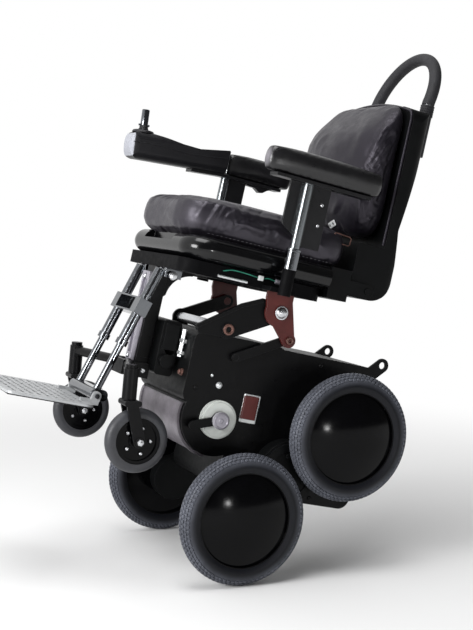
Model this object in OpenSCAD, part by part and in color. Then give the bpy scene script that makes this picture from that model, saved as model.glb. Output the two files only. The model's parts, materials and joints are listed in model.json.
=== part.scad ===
// Stair climbing power wheelchair: a seat on a lift linkage over a power base, with two
// drive wheels on each side set in a turning cluster, two swivel casters and a footrest.
// X runs across the chair (its left side is +X), Y runs to the back, Z runs up.
// The origin is at the middle of the bounding box, on the floor.
// All lengths are in millimetres and all angles in degrees.

/* [Stance] */
// Backward tilt of the chair body
body_tilt = 11; // [0:0.5:14]
// Slope of the line through the two wheels of a cluster, rear wheel up
climb_angle = 34; // [0:1:40]

/* [Drive wheels] */
// Outside diameter of a drive tyre
wheel_d = 318; // [304:1:322]
// Width of a drive tyre
tyre_w = 54; // [48:1:58]
// Diameter at which the tyre sits on its wheel
rim_d = 237; // [225:1:245]
// Distance between the two wheel axles of one cluster
axle_gap = 334; // [328:1:338]
// Bulge of the wheel disc
dome_h = 24; // [14:1:30]
// Thickness of the wheel disc
disc_t = 4; // [3:0.5:6]
// Number of tread bars around a drive tyre
tread_count = 48; // [36:1:60]
// Depth of the tread
tread_depth = 3; // [2:0.5:4]

/* [Cluster] */
// Thickness of a cluster case
case_t = 44; // [38:1:48]
// Radius of a cluster case around a wheel axle
case_end_r = 58; // [50:1:62]
// Radius of a cluster case around the main shaft
case_hub_r = 80; // [70:1:90]
// Radius of the main cluster shaft
shaft_r = 30; // [24:1:34]
// Radius of a wheel spindle
spindle_r = 12; // [10:1:15]

/* [Power base] */
// Width of the power base over its side plates
base_w = 304; // [292:1:310]
// Rear end of the power base, behind the cluster axis
base_rear = 226; // [216:1:236]
// Height of the rear deck over the cluster axis
deck_z = 292; // [284:1:296]
// Underside of the power base, below the cluster axis
base_drop = 78; // [60:1:90]
// Wall of the base housing
base_wall = 5; // [4:0.5:8]
// Thickness of a base side plate
plate_t = 6; // [4:0.5:8]
// Radius of the drive motor barrel at the front of the base
barrel_r = 92; // [84:1:96]
// Radius of the round motor end cap
cap_r = 47; // [40:1:54]
// Length of the brake release lever
lever_len = 70; // [55:1:76]

/* [Seat lift] */
// Length of a lift arm between its pivots
lift_len = 142; // [136:1:146]
// Angle of a lift arm over the seat plane, at its lowest position
lift_rest = 28; // [25:0.5:30]
// Thickness of a lift arm
arm_t = 10; // [8:0.5:11]
// Thickness of a seat hanger plate
hanger_t = 8; // [6:0.5:9]
// Half width of a lower link
link_half = 11; // [9:0.5:12]

/* [Seat] */
// Width of the seat cushion
seat_w = 424; // [410:1:440]
// Depth of the seat cushion
seat_d = 410; // [390:1:420]
// Height of the cushion underside over the cluster axis
seat_z = 518; // [496:1:524]
// Thickness of the cushion at its edge
cushion_t = 84; // [64:1:88]
// Rise of the cushion in the middle
cushion_crown = 16; // [8:1:20]
// Thickness of the seat pan
pan_t = 60; // [46:1:62]
// Thickness of the seat tray
tray_t = 32; // [18:1:36]

/* [Backrest] */
// Width of the backrest shell
back_w = 408; // [390:1:416]
// Height of the top of the backrest shell over the cluster axis
back_top = 974; // [930:1:980]
// Rise of the top edge of the backrest towards the middle
back_crown = 28; // [10:1:40]
// Depth of the backrest shell
shell_d = 58; // [54:1:66]
// Wall of the backrest shell
shell_wall = 4; // [3:0.5:5]
// Thickness of the backrest cushion
back_pad_t = 73; // [70:1:92]
// Radius of the upper backrest corners
back_corner = 40; // [24:1:130]

/* [Push handle] */
// Radius of the handle hoop
hoop_r = 133; // [120:1:150]
// Backward lean of the hoop from the backrest
hoop_lean = 12; // [8:1:26]
// Radius of the handle tube
handle_r = 11; // [9:0.5:12]
// Outside radius of the foam grip
grip_r = 16; // [14:0.5:19]

/* [Armrests] */
// Length of an arm pad
pad_l = 318; // [290:1:324]
// Width of an arm pad
pad_w = 66; // [54:1:70]
// Height of an arm pad
pad_h = 66; // [50:1:72]
// Height of the arm pad underside over the cluster axis
arm_z = 699; // [690:1:730]
// Extra height at which the right armrest is set
right_raise = 17; // [0:1:30]
// Radius of an arm post
post_r = 12; // [10:0.5:14]

/* [Joystick] */
// Width of the joystick pod
pod_w = 72; // [62:1:80]
// Reach of the pod ahead of the right arm pad
pod_l = 283; // [270:1:320]
// Forward droop of the pod from the arm pad
pod_tilt = 5; // [0:0.5:8]
// Radius of the joystick knob
stick_r = 9.5; // [8:0.5:11]
// Height of the joystick knob
stick_h = 44; // [36:1:50]

/* [Casters] */
// Diameter of a caster wheel
caster_d = 152; // [144:1:154]
// Width of a caster tyre
caster_w = 32; // [28:1:36]
// Distance from the middle plane to a caster
caster_x = 220; // [214:1:228]
// Set back of the caster axle behind its swivel axis
caster_trail = 26; // [20:1:28]

/* [Footrest] */
// Distance between the two footrest tubes
tube_gap = 140; // [120:1:150]
// Radius of an upper footrest tube
tube_r = 12.5; // [11.5:0.5:14]
// Radius of a lower footrest tube
slide_r = 9.5; // [8.5:0.5:10]
// Width of the footplate
foot_w = 330; // [300:1:340]
// Length of the footplate
foot_l = 212; // [196:1:220]
// Thickness of the footplate
foot_t = 6; // [5:0.5:8]
// Number of slots across the footplate
slot_columns = 7; // [5:1:8]
// Number of slots along the footplate
slot_rows = 9; // [6:1:10]

/* [Hidden] */
$fn = 64;
fit = 0.3;
run = 0.06;
wheel_r = wheel_d / 2;
rim_r = rim_d / 2;
// Layers across the chair, from the base outward
plate_x = base_w / 2;
shell_x = plate_x - plate_t;
arm_x0 = plate_x + 3;
arm_x1 = arm_x0 + arm_t;
hanger_x0 = arm_x1 + 2.5;
hanger_x1 = hanger_x0 + hanger_t;
case_x0 = plate_x + 30;
case_x1 = case_x0 + case_t;
wheel_x = case_x1 + 11.5 + tyre_w / 2;
half_gap = axle_gap / 2;
// Motor axis, pivots of the lift and of the parallel links, in the chair plane (back, up)
motor_at = [-188, 94];
lift_base = [-218, 313];
lift_seat = lift_base + lift_len * [cos(lift_rest), sin(lift_rest)];
link_step = [38, -63];
link_base = lift_base + link_step;
link_seat = lift_seat + link_step;
nose_front = -290;
nose_top = 297;
base_corner = 30;
// Drive units inside the base
wheel_motor_r = 58;
cluster_motor_at = [-44, 188];
cluster_motor_r = 52;
battery_top = 120;
controller_w = 220;
controller_h = 60;
eye_at = [base_rear + 10, deck_z + 12];
eye_r = 9;
lever_bore = 14;
// Seat levels and edges
pan_w = seat_w + 20;
pan_z = seat_z - pan_t;
tray_z = pan_z - tray_t;
tray_w = pan_w - 44;
seat_rear = 54;
seat_front = seat_rear - seat_d;
pan_front = seat_front - 28;
tray_front = pan_front + 2;
bumper_x = 96;
box_rear = seat_rear + 2;
// Backrest planes
back_front = box_rear + 6;
shell_front = back_front + back_pad_t + 1;
shell_rear = shell_front + shell_d;
lumbar_top = 592;
back_low = 457;
low_rear = shell_rear - 16;
waist_rear = shell_rear - 30;
waist_z = 644;
shoulder_z = back_top - 122;
hinge_at = [back_front + 48, 478];
hinge_r = 8;
ear_x0 = back_w / 2 + 3;
ear_x1 = ear_x0 + 6;
// Handle
sleeve_r = 16;
leg_y = shell_rear + sleeve_r + fit;
leg_low = back_top - 125;
bend_r = 45;
bend_z = back_top + 10;
hoop_y = leg_y + bend_r * (1 - cos(hoop_lean));
hoop_z = bend_z + bend_r * sin(hoop_lean);
// Armrests
arm_x = pan_w / 2 + 33;
post_y = -135;
socket_z = 534;
pad_rear = 58;
pad_front = pad_rear - pad_l;
split_y = -150;
pod_front = split_y - pod_l;
stick_y = pod_front + 44;
well_r = 18.5;
pod_top = arm_z + 74;
// Front column and casters
column_y0 = tray_front + 2;
column_y1 = column_y0 + 34;
block_z0 = 150;
block_z1 = 200;
caster_y = -452;
caster_z = 150;
caster_rake = 8;
caster_r = caster_d / 2;
axle_drop = 59 + caster_r;
fork_x0 = caster_w / 2 + 3;
fork_x1 = fork_x0 + 6;
barrel_top = 32;
barrel_low = -40;
stem_r = 9;
// Footrest, along the line of its tubes
tube_x = tube_gap / 2;
tube_top = [-384, 420];
tube_lean = 16.4;
tube_split = 205;
heel_at = [-482, 92];
heel_z0 = 80;
heel_z1 = 108;
foot_rear = heel_at[0] - 20;
foot_front = foot_rear - foot_l;
foot_z = 76;
// Place of the cluster axis, so that the box round the whole chair is centred on the origin
reach_front = foot_front * cos(body_tilt) + (foot_z - foot_t) * sin(body_tilt);
hoop_top = [hoop_y + hoop_r * sin(hoop_lean), hoop_z + hoop_r * cos(hoop_lean)];
reach_rear = hoop_top[0] * cos(body_tilt) + hoop_top[1] * sin(body_tilt) + grip_r;
axis_y = -(reach_front + reach_rear) / 2;
axis_z = wheel_r + half_gap * sin(climb_angle);

// Frames and small helpers
module in_chair() {
    translate([0, axis_y, axis_z]) rotate([-body_tilt, 0, 0]) children();
}

module in_cluster() {
    translate([0, axis_y, axis_z]) rotate([climb_angle, 0, 0]) children();
}

module mirrored() {
    mirror([1, 0, 0]) children();
}

module both_sides() {
    children();
    mirrored() children();
}

module at(p) {
    translate([0, p[0], p[1]]) children();
}

module along_x(x0, x1) {
    translate([x0, 0, 0]) rotate([90, 0, 90]) linear_extrude(x1 - x0) children();
}

module disc(x0, x1, r) {
    translate([x0, 0, 0]) rotate([0, 90, 0]) cylinder(r = r, h = x1 - x0);
}

module block(p, q) {
    translate(p) cube(q - p);
}

module rod(p, q, r) {
    d = q - p;
    l = norm(d);
    translate(p) rotate([0, acos(d[2] / l), atan2(d[1], d[0])]) cylinder(r = r, h = l);
}

module bar2d(a, b, half) {
    d = b - a;
    translate(a) rotate(atan2(d[1], d[0])) translate([0, -half]) square([norm(d), 2 * half]);
}

// The bar is a hair narrower than the round ends, so that their outlines cross
module slot2d(a, b, r) {
    translate(a) circle(r);
    translate(b) circle(r);
    bar2d(a, b, r * 0.997);
}

module round2d(a, b, r) {
    translate([a[0] + r, a[1]]) square([b[0] - a[0] - 2 * r, b[1] - a[1]]);
    translate([a[0], a[1] + r]) square([b[0] - a[0], b[1] - a[1] - 2 * r]);
    for (x = [a[0] + r, b[0] - r]) for (y = [a[1] + r, b[1] - r]) translate([x, y]) circle(r);
}

// Soft forms: closed rings of points, from the underside to the crown
soft_n = 44;
function edge_unit(a, n) =
    [sign(cos(a)) * pow(abs(cos(a)), 2 / n), sign(sin(a)) * pow(abs(sin(a)), 2 / n)];
function ring(size, n, pinch, r) = [
    for (i = [0:soft_n - 1])
        let (u = edge_unit(360 * (i + 0.5) / soft_n, n))
        [(size[0] / 2 - r[1]) * r[0] * u[0] * (1 - pinch * (1 - u[1] * u[1])),
         (size[1] / 2 - r[1]) * r[0] * u[1] * (1 - pinch * (1 - u[0] * u[0])), r[2]]
];
function soft_rings(h, crown, bulge) = concat(
    [[0.5, bulge, 0]],
    [for (k = [0:6]) let (a = -75 + 25 * k) [1, bulge * (1 - cos(a)), h * (0.5 + 0.5 * sin(a) / sin(75))]],
    [for (s = [0.94, 0.84, 0.68, 0.48, 0.26])
        [s, bulge * (1 - cos(75)), h + crown * (1 - s * s)]]
);
function soft_points(size, n, pinch, crown, bulge) = let (rows = soft_rings(size[2], crown, bulge)) concat(
    [for (r = rows) for (p = ring(size, n, pinch, r)) p],
    [[0, 0, 0], [0, 0, size[2] + crown]]
);
function soft_faces(rows) = let (m = soft_n, low = rows * m, high = rows * m + 1) concat(
    [for (j = [0:rows - 2]) for (k = [0:m - 1]) let (e = (k + 1) % m)
        [j * m + k, (j + 1) * m + k, (j + 1) * m + e]],
    [for (j = [0:rows - 2]) for (k = [0:m - 1]) let (e = (k + 1) % m)
        [j * m + k, (j + 1) * m + e, j * m + e]],
    [for (k = [0:m - 1]) [low, k, (k + 1) % m]],
    [for (k = [0:m - 1]) [high, (rows - 1) * m + (k + 1) % m, (rows - 1) * m + k]]
);

module soft_pad(size, n, pinch, crown, bulge) {
    polyhedron(soft_points(size, n, pinch, crown, bulge), soft_faces(13), convexity = 4);
}

// Power base
module base_profile(e) {
    round2d([-150 + e, -base_drop + e], [base_rear - e, deck_z - e], base_corner - e);
    translate(motor_at) circle(barrel_r - e);
    round2d([nose_front + e, 120 + e], [-40, nose_top - e], 24 - e);
}

module base_shell() {
    color([0.06, 0.06, 0.07]) in_chair() difference() {
        along_x(-shell_x, shell_x) base_profile(0);
        along_x(-shell_x - 1, shell_x + 1) base_profile(base_wall);
    }
}

module side_plate() {
    along_x(shell_x, plate_x) difference() {
        union() {
            base_profile(0);
            slot2d(lift_base, lift_base + [6, -50], 22);
            slot2d(eye_at, eye_at + [-30, -30], 18);
        }
        translate(eye_at) circle(eye_r);
        translate(lift_base) circle(13 + run);
        circle(shaft_r + 16);
    }
    at(link_base) disc(plate_x, arm_x1, 8);
}

module left_side_plate() {
    color([0.08, 0.08, 0.09]) in_chair() side_plate();
}

module right_side_plate() {
    color([0.08, 0.08, 0.09]) in_chair() mirrored() side_plate();
}

module shaft_bearings() {
    color([0.7, 0.71, 0.72]) in_chair() both_sides() difference() {
        disc(shell_x - 8, plate_x, shaft_r + 15.95);
        disc(shell_x - 9, plate_x + 1, shaft_r + run);
    }
}

module motor_cover() {
    half = shell_x - 8;
    color([0.5, 0.49, 0.52]) in_chair() at(motor_at) intersection() {
        union() {
            for (x = [-half, half - 12]) along_x(x, x + 12) difference() {
                circle(barrel_r + 7);
                circle(barrel_r + 0.2);
            }
            along_x(-half, half) difference() {
                circle(barrel_r + 4);
                circle(barrel_r + 0.2);
            }
        }
        along_x(-half, half) polygon([[-4, 0], [-20, 24], [-160, 24], [-160, -150], [-10, -150]]);
    }
}

module battery_packs() {
    rear = base_rear - base_corner - 2;
    color([0.16, 0.2, 0.26]) in_chair() both_sides()
        block([4, shaft_r + 14, -base_drop + base_wall], [shell_x - 22, rear, battery_top]);
}

module wheel_motors() {
    color([0.5, 0.5, 0.52]) in_chair() both_sides() at(motor_at) {
        disc(24, shell_x, wheel_motor_r);
        disc(12, 24, 24);
    }
}

module cluster_motor() {
    color([0.5, 0.5, 0.52]) in_chair() at(cluster_motor_at) {
        disc(-shell_x, 20, cluster_motor_r);
        disc(20, 34, 22);
    }
}

module controller() {
    color([0.2, 0.32, 0.24]) in_chair()
        block([-controller_w / 2, 60, deck_z - base_wall - controller_h],
            [controller_w / 2, base_rear - base_corner - 6, deck_z - base_wall]);
}

module motor_cap() {
    at(motor_at) {
        disc(plate_x, plate_x + 10, cap_r);
        disc(plate_x + 10, plate_x + 14, cap_r - 5);
        disc(plate_x + 14, plate_x + 22.4, lever_bore);
        difference() {
            disc(plate_x + 22.4, plate_x + 28, lever_bore + 8);
            disc(plate_x + 25.5, plate_x + 29, lever_bore + 4);
        }
    }
}

module left_motor_cap() {
    color([0.82, 0.83, 0.8]) in_chair() motor_cap();
}

module right_motor_cap() {
    color([0.82, 0.83, 0.8]) in_chair() mirrored() motor_cap();
}

module brake_lever() {
    at(motor_at) along_x(plate_x + 14.6, plate_x + 22) difference() {
        union() {
            circle(lever_bore + 7);
            slot2d([0, 0], lever_len * [-0.95, -0.31], 10.5);
        }
        circle(lever_bore + run);
    }
}

module left_brake_lever() {
    color([0.05, 0.05, 0.05]) in_chair() brake_lever();
}

module right_brake_lever() {
    color([0.05, 0.05, 0.05]) in_chair() mirrored() brake_lever();
}

// Wheel cluster
module cluster_shaft() {
    color([0.6, 0.61, 0.63]) in_cluster() disc(-case_x0 - 20, case_x0 + 20, shaft_r);
}

module case_profile(e) {
    circle(case_hub_r - e);
    for (s = [-1, 1]) translate([s * half_gap, 0]) circle(case_end_r - e);
    translate([-half_gap, -case_end_r + 8 + e]) square([axle_gap, 2 * (case_end_r - 8 - e)]);
}

module cluster_case() {
    difference() {
        union() {
            along_x(case_x0, case_x1 - 6) case_profile(0);
            along_x(case_x1 - 6, case_x1) case_profile(5);
            for (s = [-1, 1]) at([s * half_gap, 0]) disc(case_x1, case_x1 + 4, spindle_r + 14);
        }
        disc(case_x0 - 1, case_x0 + 20.2, shaft_r + 0.05);
        for (s = [-1, 1]) at([s * half_gap, 0]) disc(case_x0 + 8, case_x1 + 5, spindle_r + run);
        disc(case_x1 - 3, case_x1 + 1, case_hub_r - 24);
    }
    for (k = [0:5]) rotate([60 * k, 0, 0]) at([case_hub_r - 36, 0]) disc(case_x1 - 3.2, case_x1 + 1, 6);
}

module left_cluster_case() {
    color([0.07, 0.07, 0.08]) in_cluster() cluster_case();
}

module right_cluster_case() {
    color([0.07, 0.07, 0.08]) in_cluster() mirrored() cluster_case();
}

module tyre_profile() {
    half = tyre_w / 2;
    difference() {
        union() {
            translate([wheel_r - half, 0]) circle(half);
            translate([wheel_r - half, -half * 0.8]) square([half * 0.6, half * 1.6]);
        }
        translate([0, -half - 1]) square([rim_r, tyre_w + 2]);
    }
}

module drive_tyre() {
    half = tyre_w / 2;
    difference() {
        rotate([0, 90, 0]) rotate_extrude($fn = 96) difference() {
            tyre_profile();
            for (s = [-1, 1]) translate([wheel_r - tread_depth, s * half * 0.27 - 1.6]) square([10, 3.2]);
        }
        for (k = [0:tread_count - 1]) rotate([360 * k / tread_count, 0, 0])
            translate([-half * 0.62, -1.6, wheel_r - tread_depth]) cube([half * 1.24, 3.2, 10]);
    }
}

module drive_wheel() {
    edge = 13;
    ball = (pow(rim_r - 2, 2) + pow(dome_h, 2)) / (2 * dome_h);
    low = case_x0 + 10 - wheel_x;
    rotate([0, 90, 0]) rotate_extrude($fn = 96) {
        translate([rim_r - 6, -20]) square([5.8, 40]);
        intersection() {
            difference() {
                translate([0, edge + dome_h - ball]) circle(ball);
                translate([0, edge + dome_h - ball]) circle(ball - disc_t);
            }
            translate([0, 0]) square([rim_r - 2, edge + dome_h + 1]);
        }
        translate([0, -27]) square([28, 27 + edge + dome_h - disc_t - 1]);
        translate([20, -8]) square([rim_r - 24, 6]);
        translate([0, low]) square([spindle_r, -low - 20]);
    }
}

module left_front_tyre() {
    color([0.13, 0.14, 0.16]) in_cluster() translate([wheel_x, -half_gap, 0]) drive_tyre();
}

module left_rear_tyre() {
    color([0.13, 0.14, 0.16]) in_cluster() translate([wheel_x, half_gap, 0]) drive_tyre();
}

module right_front_tyre() {
    color([0.13, 0.14, 0.16]) in_cluster() mirrored() translate([wheel_x, -half_gap, 0]) drive_tyre();
}

module right_rear_tyre() {
    color([0.13, 0.14, 0.16]) in_cluster() mirrored() translate([wheel_x, half_gap, 0]) drive_tyre();
}

module left_front_wheel() {
    color([0.04, 0.04, 0.05]) in_cluster() translate([wheel_x, -half_gap, 0]) drive_wheel();
}

module left_rear_wheel() {
    color([0.04, 0.04, 0.05]) in_cluster() translate([wheel_x, half_gap, 0]) drive_wheel();
}

module right_front_wheel() {
    color([0.04, 0.04, 0.05]) in_cluster() mirrored() translate([wheel_x, -half_gap, 0]) drive_wheel();
}

module right_rear_wheel() {
    color([0.04, 0.04, 0.05]) in_cluster() mirrored() translate([wheel_x, half_gap, 0]) drive_wheel();
}

// Seat lift
module lift_arm(half) {
    along_x(arm_x0, arm_x1) difference() {
        union() {
            slot2d(lift_base, lift_seat, half);
            children();
        }
        translate(lift_seat) circle(10 + run);
    }
    at(lift_base) disc(arm_x1, arm_x1 + 6, 15);
}

// The left arm has the broad shoulder that covers the lift drive
module left_lift_arm() {
    color([0.07, 0.07, 0.08]) in_chair() {
        lift_arm(23) polygon([lift_base + [-84, -6], lift_base + [24, 68], lift_base + [78, 92],
            lift_seat + [6, 22], lift_seat, lift_base + [0, -20], lift_base + [-70, -22]]);
        along_x(arm_x1, arm_x1 + 2) {
            bar2d(lift_base + [-80, -8], lift_base + [24, 63], 4);
            bar2d(lift_base + [24, 63], lift_base + [76, 86], 4);
        }
    }
}

module right_lift_arm() {
    color([0.07, 0.07, 0.08]) in_chair() mirrored() lift_arm(17);
}

module lift_tube() {
    color([0.3, 0.3, 0.32]) in_chair() at(lift_base) disc(-arm_x0, arm_x0, 13);
}

module lower_link() {
    along_x(arm_x0, arm_x1) difference() {
        slot2d(link_base, link_seat, link_half);
        translate(link_base) circle(8 + run);
        translate(link_seat) circle(5 + 0.5);
    }
}

module left_lower_link() {
    color([0.09, 0.09, 0.1]) in_chair() lower_link();
}

module right_lower_link() {
    color([0.09, 0.09, 0.1]) in_chair() mirrored() lower_link();
}

module hanger() {
    along_x(hanger_x0, hanger_x1) {
        translate(link_seat) circle(18);
        translate(lift_seat + [-4, 0]) circle(37);
        polygon([lift_seat + [-46, 30], lift_seat + [-37, -2], lift_seat + [-20, -26], link_seat + [-15, -9],
            link_seat, link_seat + [17, -4], lift_seat + [26, 30]]);
        translate([lift_seat[0] - 46, lift_seat[1] + 28]) square([72, tray_z - lift_seat[1] - 28]);
    }
    at(lift_seat) disc(arm_x0, hanger_x0, 10);
    at(link_seat) disc(arm_x0, hanger_x0, 5);
    at(lift_seat) disc(hanger_x1, hanger_x1 + 3, 15);
    at(lift_seat) disc(hanger_x1 + 3, hanger_x1 + 5, 11);
    at(link_seat) disc(hanger_x1, hanger_x1 + 3, 8);
}

module left_hanger() {
    color([0.36, 0.13, 0.11]) in_chair() hanger();
}

module right_hanger() {
    color([0.36, 0.13, 0.11]) in_chair() mirrored() hanger();
}

// Seat
module arm_socket() {
    block([tray_w / 2 - 4, post_y - 34, tray_z], [arm_x - 8, post_y + 34, tray_z + 10]);
    translate([arm_x, post_y, tray_z - 6]) cylinder(r = post_r + 4, h = socket_z - tray_z + 6);
    block([tray_w / 2 + 30, post_y - 4, tray_z + 8], [arm_x - 8, post_y + 4, tray_z + 18]);
}

module seat_tray() {
    color([0.08, 0.08, 0.09]) in_chair() difference() {
        union() {
            translate([0, 0, tray_z]) linear_extrude(tray_t)
                round2d([-tray_w / 2, tray_front], [tray_w / 2, 0], 40);
            both_sides() arm_socket();
        }
        both_sides() translate([0, 0, tray_z - 1]) linear_extrude(tray_t - 7)
            round2d([14, tray_front + 120], [hanger_x0 - 6, -26], 16);
        both_sides() translate([arm_x, post_y, tray_z + 4])
            cylinder(r = post_r + run, h = socket_z - tray_z);
    }
}

module seat_pan() {
    r = pan_t / 2;
    c = 70;
    x = pan_w / 2 - c;
    color([0.05, 0.05, 0.06]) in_chair() translate([0, 0, pan_z]) difference() {
        union() {
            linear_extrude(pan_t) round2d([-pan_w / 2 + r, pan_front + r], [pan_w / 2 - r, 0], c - r);
            both_sides() translate([x, pan_front + c, r]) rotate([0, 0, -90])
                rotate_extrude(angle = 90) translate([c - r, 0]) circle(r);
            translate([-x, pan_front + r, r]) rotate([0, 90, 0]) cylinder(r = r, h = 2 * x);
            both_sides() translate([pan_w / 2 - r, pan_front + c, r]) rotate([-90, 0, 0])
                cylinder(r = r, h = -pan_front - c);
            both_sides() translate([pan_w / 2 - c, -c + r, 0]) cube([c - r, c - r, pan_t]);
        }
        along_x(-bumper_x, bumper_x) translate([pan_front - 1, pan_t * 0.62]) square([27, pan_t]);
    }
}

module seat_cushion() {
    color([0.1, 0.09, 0.11]) in_chair() translate([0, (seat_rear + seat_front) / 2, seat_z])
        soft_pad([seat_w, seat_d, cushion_t], 8, 0.012, cushion_crown, 14);
}

module rear_housing() {
    half = max(ear_x1, seat_w / 2 + 1);
    color([0.06, 0.06, 0.07]) in_chair() {
        block([-half, 0.2, tray_z + 14], [half, box_rear, seat_z]);
        both_sides() along_x(ear_x0, ear_x1) difference() {
            slot2d([box_rear - 20, hinge_at[1]], hinge_at, 17);
            translate(hinge_at) circle(hinge_r + run);
        }
    }
}

// Front column, casters and their arms
module front_column() {
    bend = 72;
    color([0.07, 0.07, 0.08]) in_chair() {
        block([-28, column_y0, block_z1], [28, column_y1, tray_z]);
        along_x(-26, 26) difference() {
            polygon([[column_y1 - 1, tray_z], [column_y1 + bend, tray_z], [column_y1 - 1, tray_z - bend]]);
            translate([column_y1 + bend, tray_z - bend]) circle(bend - 6);
        }
    }
}

module front_strut() {
    color([0.55, 0.55, 0.57]) in_chair() difference() {
        translate([0, column_y0 - 0.2, 0]) rotate([90, 0, 0]) linear_extrude(12)
            polygon([[-15, block_z1 - 14], [15, block_z1 - 14], [24, tray_z - 16], [-24, tray_z - 16]]);
        translate([0, column_y0 - 4, 0]) rotate([90, 0, 0]) linear_extrude(12)
            polygon([[-10, block_z1 + 6], [10, block_z1 + 6], [18, tray_z - 36], [-18, tray_z - 36]]);
        for (z = [block_z1 - 4, tray_z - 26]) translate([0, column_y0 + 1, z]) rotate([90, 0, 0])
            cylinder(r = 5, h = 20);
    }
}

module caster_actuator() {
    rear = nose_front - 8;
    color([0.09, 0.09, 0.1]) in_chair() {
        along_x(-76, 76) difference() {
            round2d([column_y1, 168], [rear, 304], 10);
            translate([column_y1 + 30, 236]) circle(16);
        }
        along_x(-90, 90) translate([column_y1 + 22, 204]) circle(17);
        for (x = [-84, 76]) block([x, column_y1 + 6, 232], [x + 8, rear - 8, 296]);
    }
}

module place_caster() {
    translate([caster_x, caster_y, caster_z]) rotate([caster_rake, 0, 0]) children();
}

module caster_arm() {
    difference() {
        union() {
            rod([20, column_y0 - 14, 178], [caster_x, caster_y - 3, caster_z + 18], 12);
            place_caster() translate([0, 0, barrel_low])
                cylinder(r = 17, h = barrel_top - barrel_low);
        }
        place_caster() translate([0, 0, barrel_low - 1])
            cylinder(r = stem_r + run, h = barrel_top - barrel_low + 2);
    }
}

module caster_arms() {
    color([0.08, 0.08, 0.09]) in_chair() {
        block([-44, column_y0 - 36, block_z0], [44, column_y1, block_z1 - 14.2]);
        block([-28, column_y0, block_z1 - 15], [28, column_y1, block_z1 - 0.2]);
        both_sides() caster_arm();
    }
}

module caster_fork() {
    axle = [caster_trail, -axle_drop];
    both_sides() along_x(fork_x0, fork_x1) {
        slot2d([4, barrel_low - 16], axle, 14);
    }
    along_x(-fork_x1, fork_x1) round2d([-17, barrel_low - 14], [24, barrel_low - 0.5], 6);
    translate([0, 0, barrel_low - 6]) cylinder(r = stem_r, h = barrel_top - barrel_low + 7);
    translate([0, 0, barrel_top + 0.5]) cylinder(r = 14, h = 8);
    at(axle) disc(-fork_x1 - 4, fork_x1 + 4, 5);
    at(axle) disc(fork_x1, fork_x1 + 5, 9);
    at(axle) disc(-fork_x1 - 5, -fork_x1, 9);
}

module caster_wheel() {
    difference() {
        union() {
            disc(-8, 8, caster_r - 22.2);
            disc(-13, 13, 20);
            difference() {
                disc(-13, 13, caster_r - 22.2);
                disc(-14, 14, caster_r - 30);
            }
            for (k = [0:4]) rotate([72 * k, 0, 0]) at([31, 0]) disc(-11, 11, 5);
        }
        disc(-20, 20, 5 + run);
    }
}

module caster_tyre() {
    half = caster_w / 2;
    rotate([0, 90, 0]) rotate_extrude() difference() {
        union() {
            translate([caster_r - half, 0]) circle(half);
            translate([caster_r - 22, -half]) square([22 - half, caster_w]);
        }
        translate([caster_r - 50, -half - 1]) square([28, caster_w + 2]);
    }
}

module left_caster_fork() {
    color([0.06, 0.06, 0.07]) in_chair() place_caster() caster_fork();
}

module right_caster_fork() {
    color([0.06, 0.06, 0.07]) in_chair() mirrored() place_caster() caster_fork();
}

module left_caster_wheel() {
    color([0.6, 0.6, 0.62]) in_chair() place_caster() at([caster_trail, -axle_drop]) caster_wheel();
}

module right_caster_wheel() {
    color([0.6, 0.6, 0.62]) in_chair() mirrored() place_caster()
        at([caster_trail, -axle_drop]) caster_wheel();
}

module left_caster_tyre() {
    color([0.1, 0.1, 0.11]) in_chair() place_caster() at([caster_trail, -axle_drop]) caster_tyre();
}

module right_caster_tyre() {
    color([0.1, 0.1, 0.11]) in_chair() mirrored() place_caster()
        at([caster_trail, -axle_drop]) caster_tyre();
}

// Backrest
module shell_side(e) {
    r = 58;
    polygon([[shell_front + e, lumbar_top - e], [shell_front + e, back_top - e],
        [shell_rear - e, back_top - e], [shell_rear - e, shoulder_z], [waist_rear - e, waist_z],
        [low_rear - e, waist_z - 88], [low_rear - e, back_low + r], [low_rear - r, back_low + e],
        [back_front + e, back_low + e], [back_front + e, lumbar_top - e]]);
    translate([low_rear - r, back_low + r]) circle(r - e);
}

// The top edge is a shallow arc that runs into rounded corners
module shell_face(e) {
    half = back_w / 2;
    arc_r = (half * half + back_crown * back_crown) / (2 * back_crown);
    intersection() {
        translate([0, back_top - arc_r]) circle(arc_r - e);
        round2d([-half + e, back_low - 2 * back_corner],
            [half - e, back_top - back_crown + 14 - e], back_corner - e);
    }
}

module shell_form(e) {
    intersection() {
        along_x(-back_w / 2 + e, back_w / 2 - e) shell_side(e);
        translate([0, shell_rear + 20, 0]) rotate([90, 0, 0]) linear_extrude(300) shell_face(e);
        translate([0, 0, back_low - 10]) linear_extrude(back_top - back_low + 20)
            round2d([-back_w / 2 + e, back_front - 80], [back_w / 2 - e, shell_rear - e], 34 - e);
    }
}

module back_shell() {
    color([0.05, 0.05, 0.06]) in_chair() {
        difference() {
            shell_form(0);
            shell_form(shell_wall);
            both_sides() translate([back_w / 4, shell_front - 20, back_low - 5]) cylinder(r = 8, h = 20);
        }
        both_sides() at(hinge_at) disc(back_w / 2 - 14, ear_x1 + 3, hinge_r);
    }
}

function back_y(p) = let (t = max(0, (p[1] - 30) / 160)) 1 - 0.72 * t * t;
function back_points(size, n) = [
    for (p = soft_points(size, n, 0.01, 20, 16)) [p[0], shell_front - 0.4 - p[2] * back_y(p), p[1]]
];

module back_cushion() {
    low = lumbar_top + 5;
    h = back_top + 4 - low;
    size = [back_w - 26, h, back_pad_t - 13];
    color([0.1, 0.09, 0.11]) in_chair() translate([0, 0, low + h / 2])
        polyhedron(back_points(size, 5), soft_faces(13), convexity = 4);
}

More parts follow.
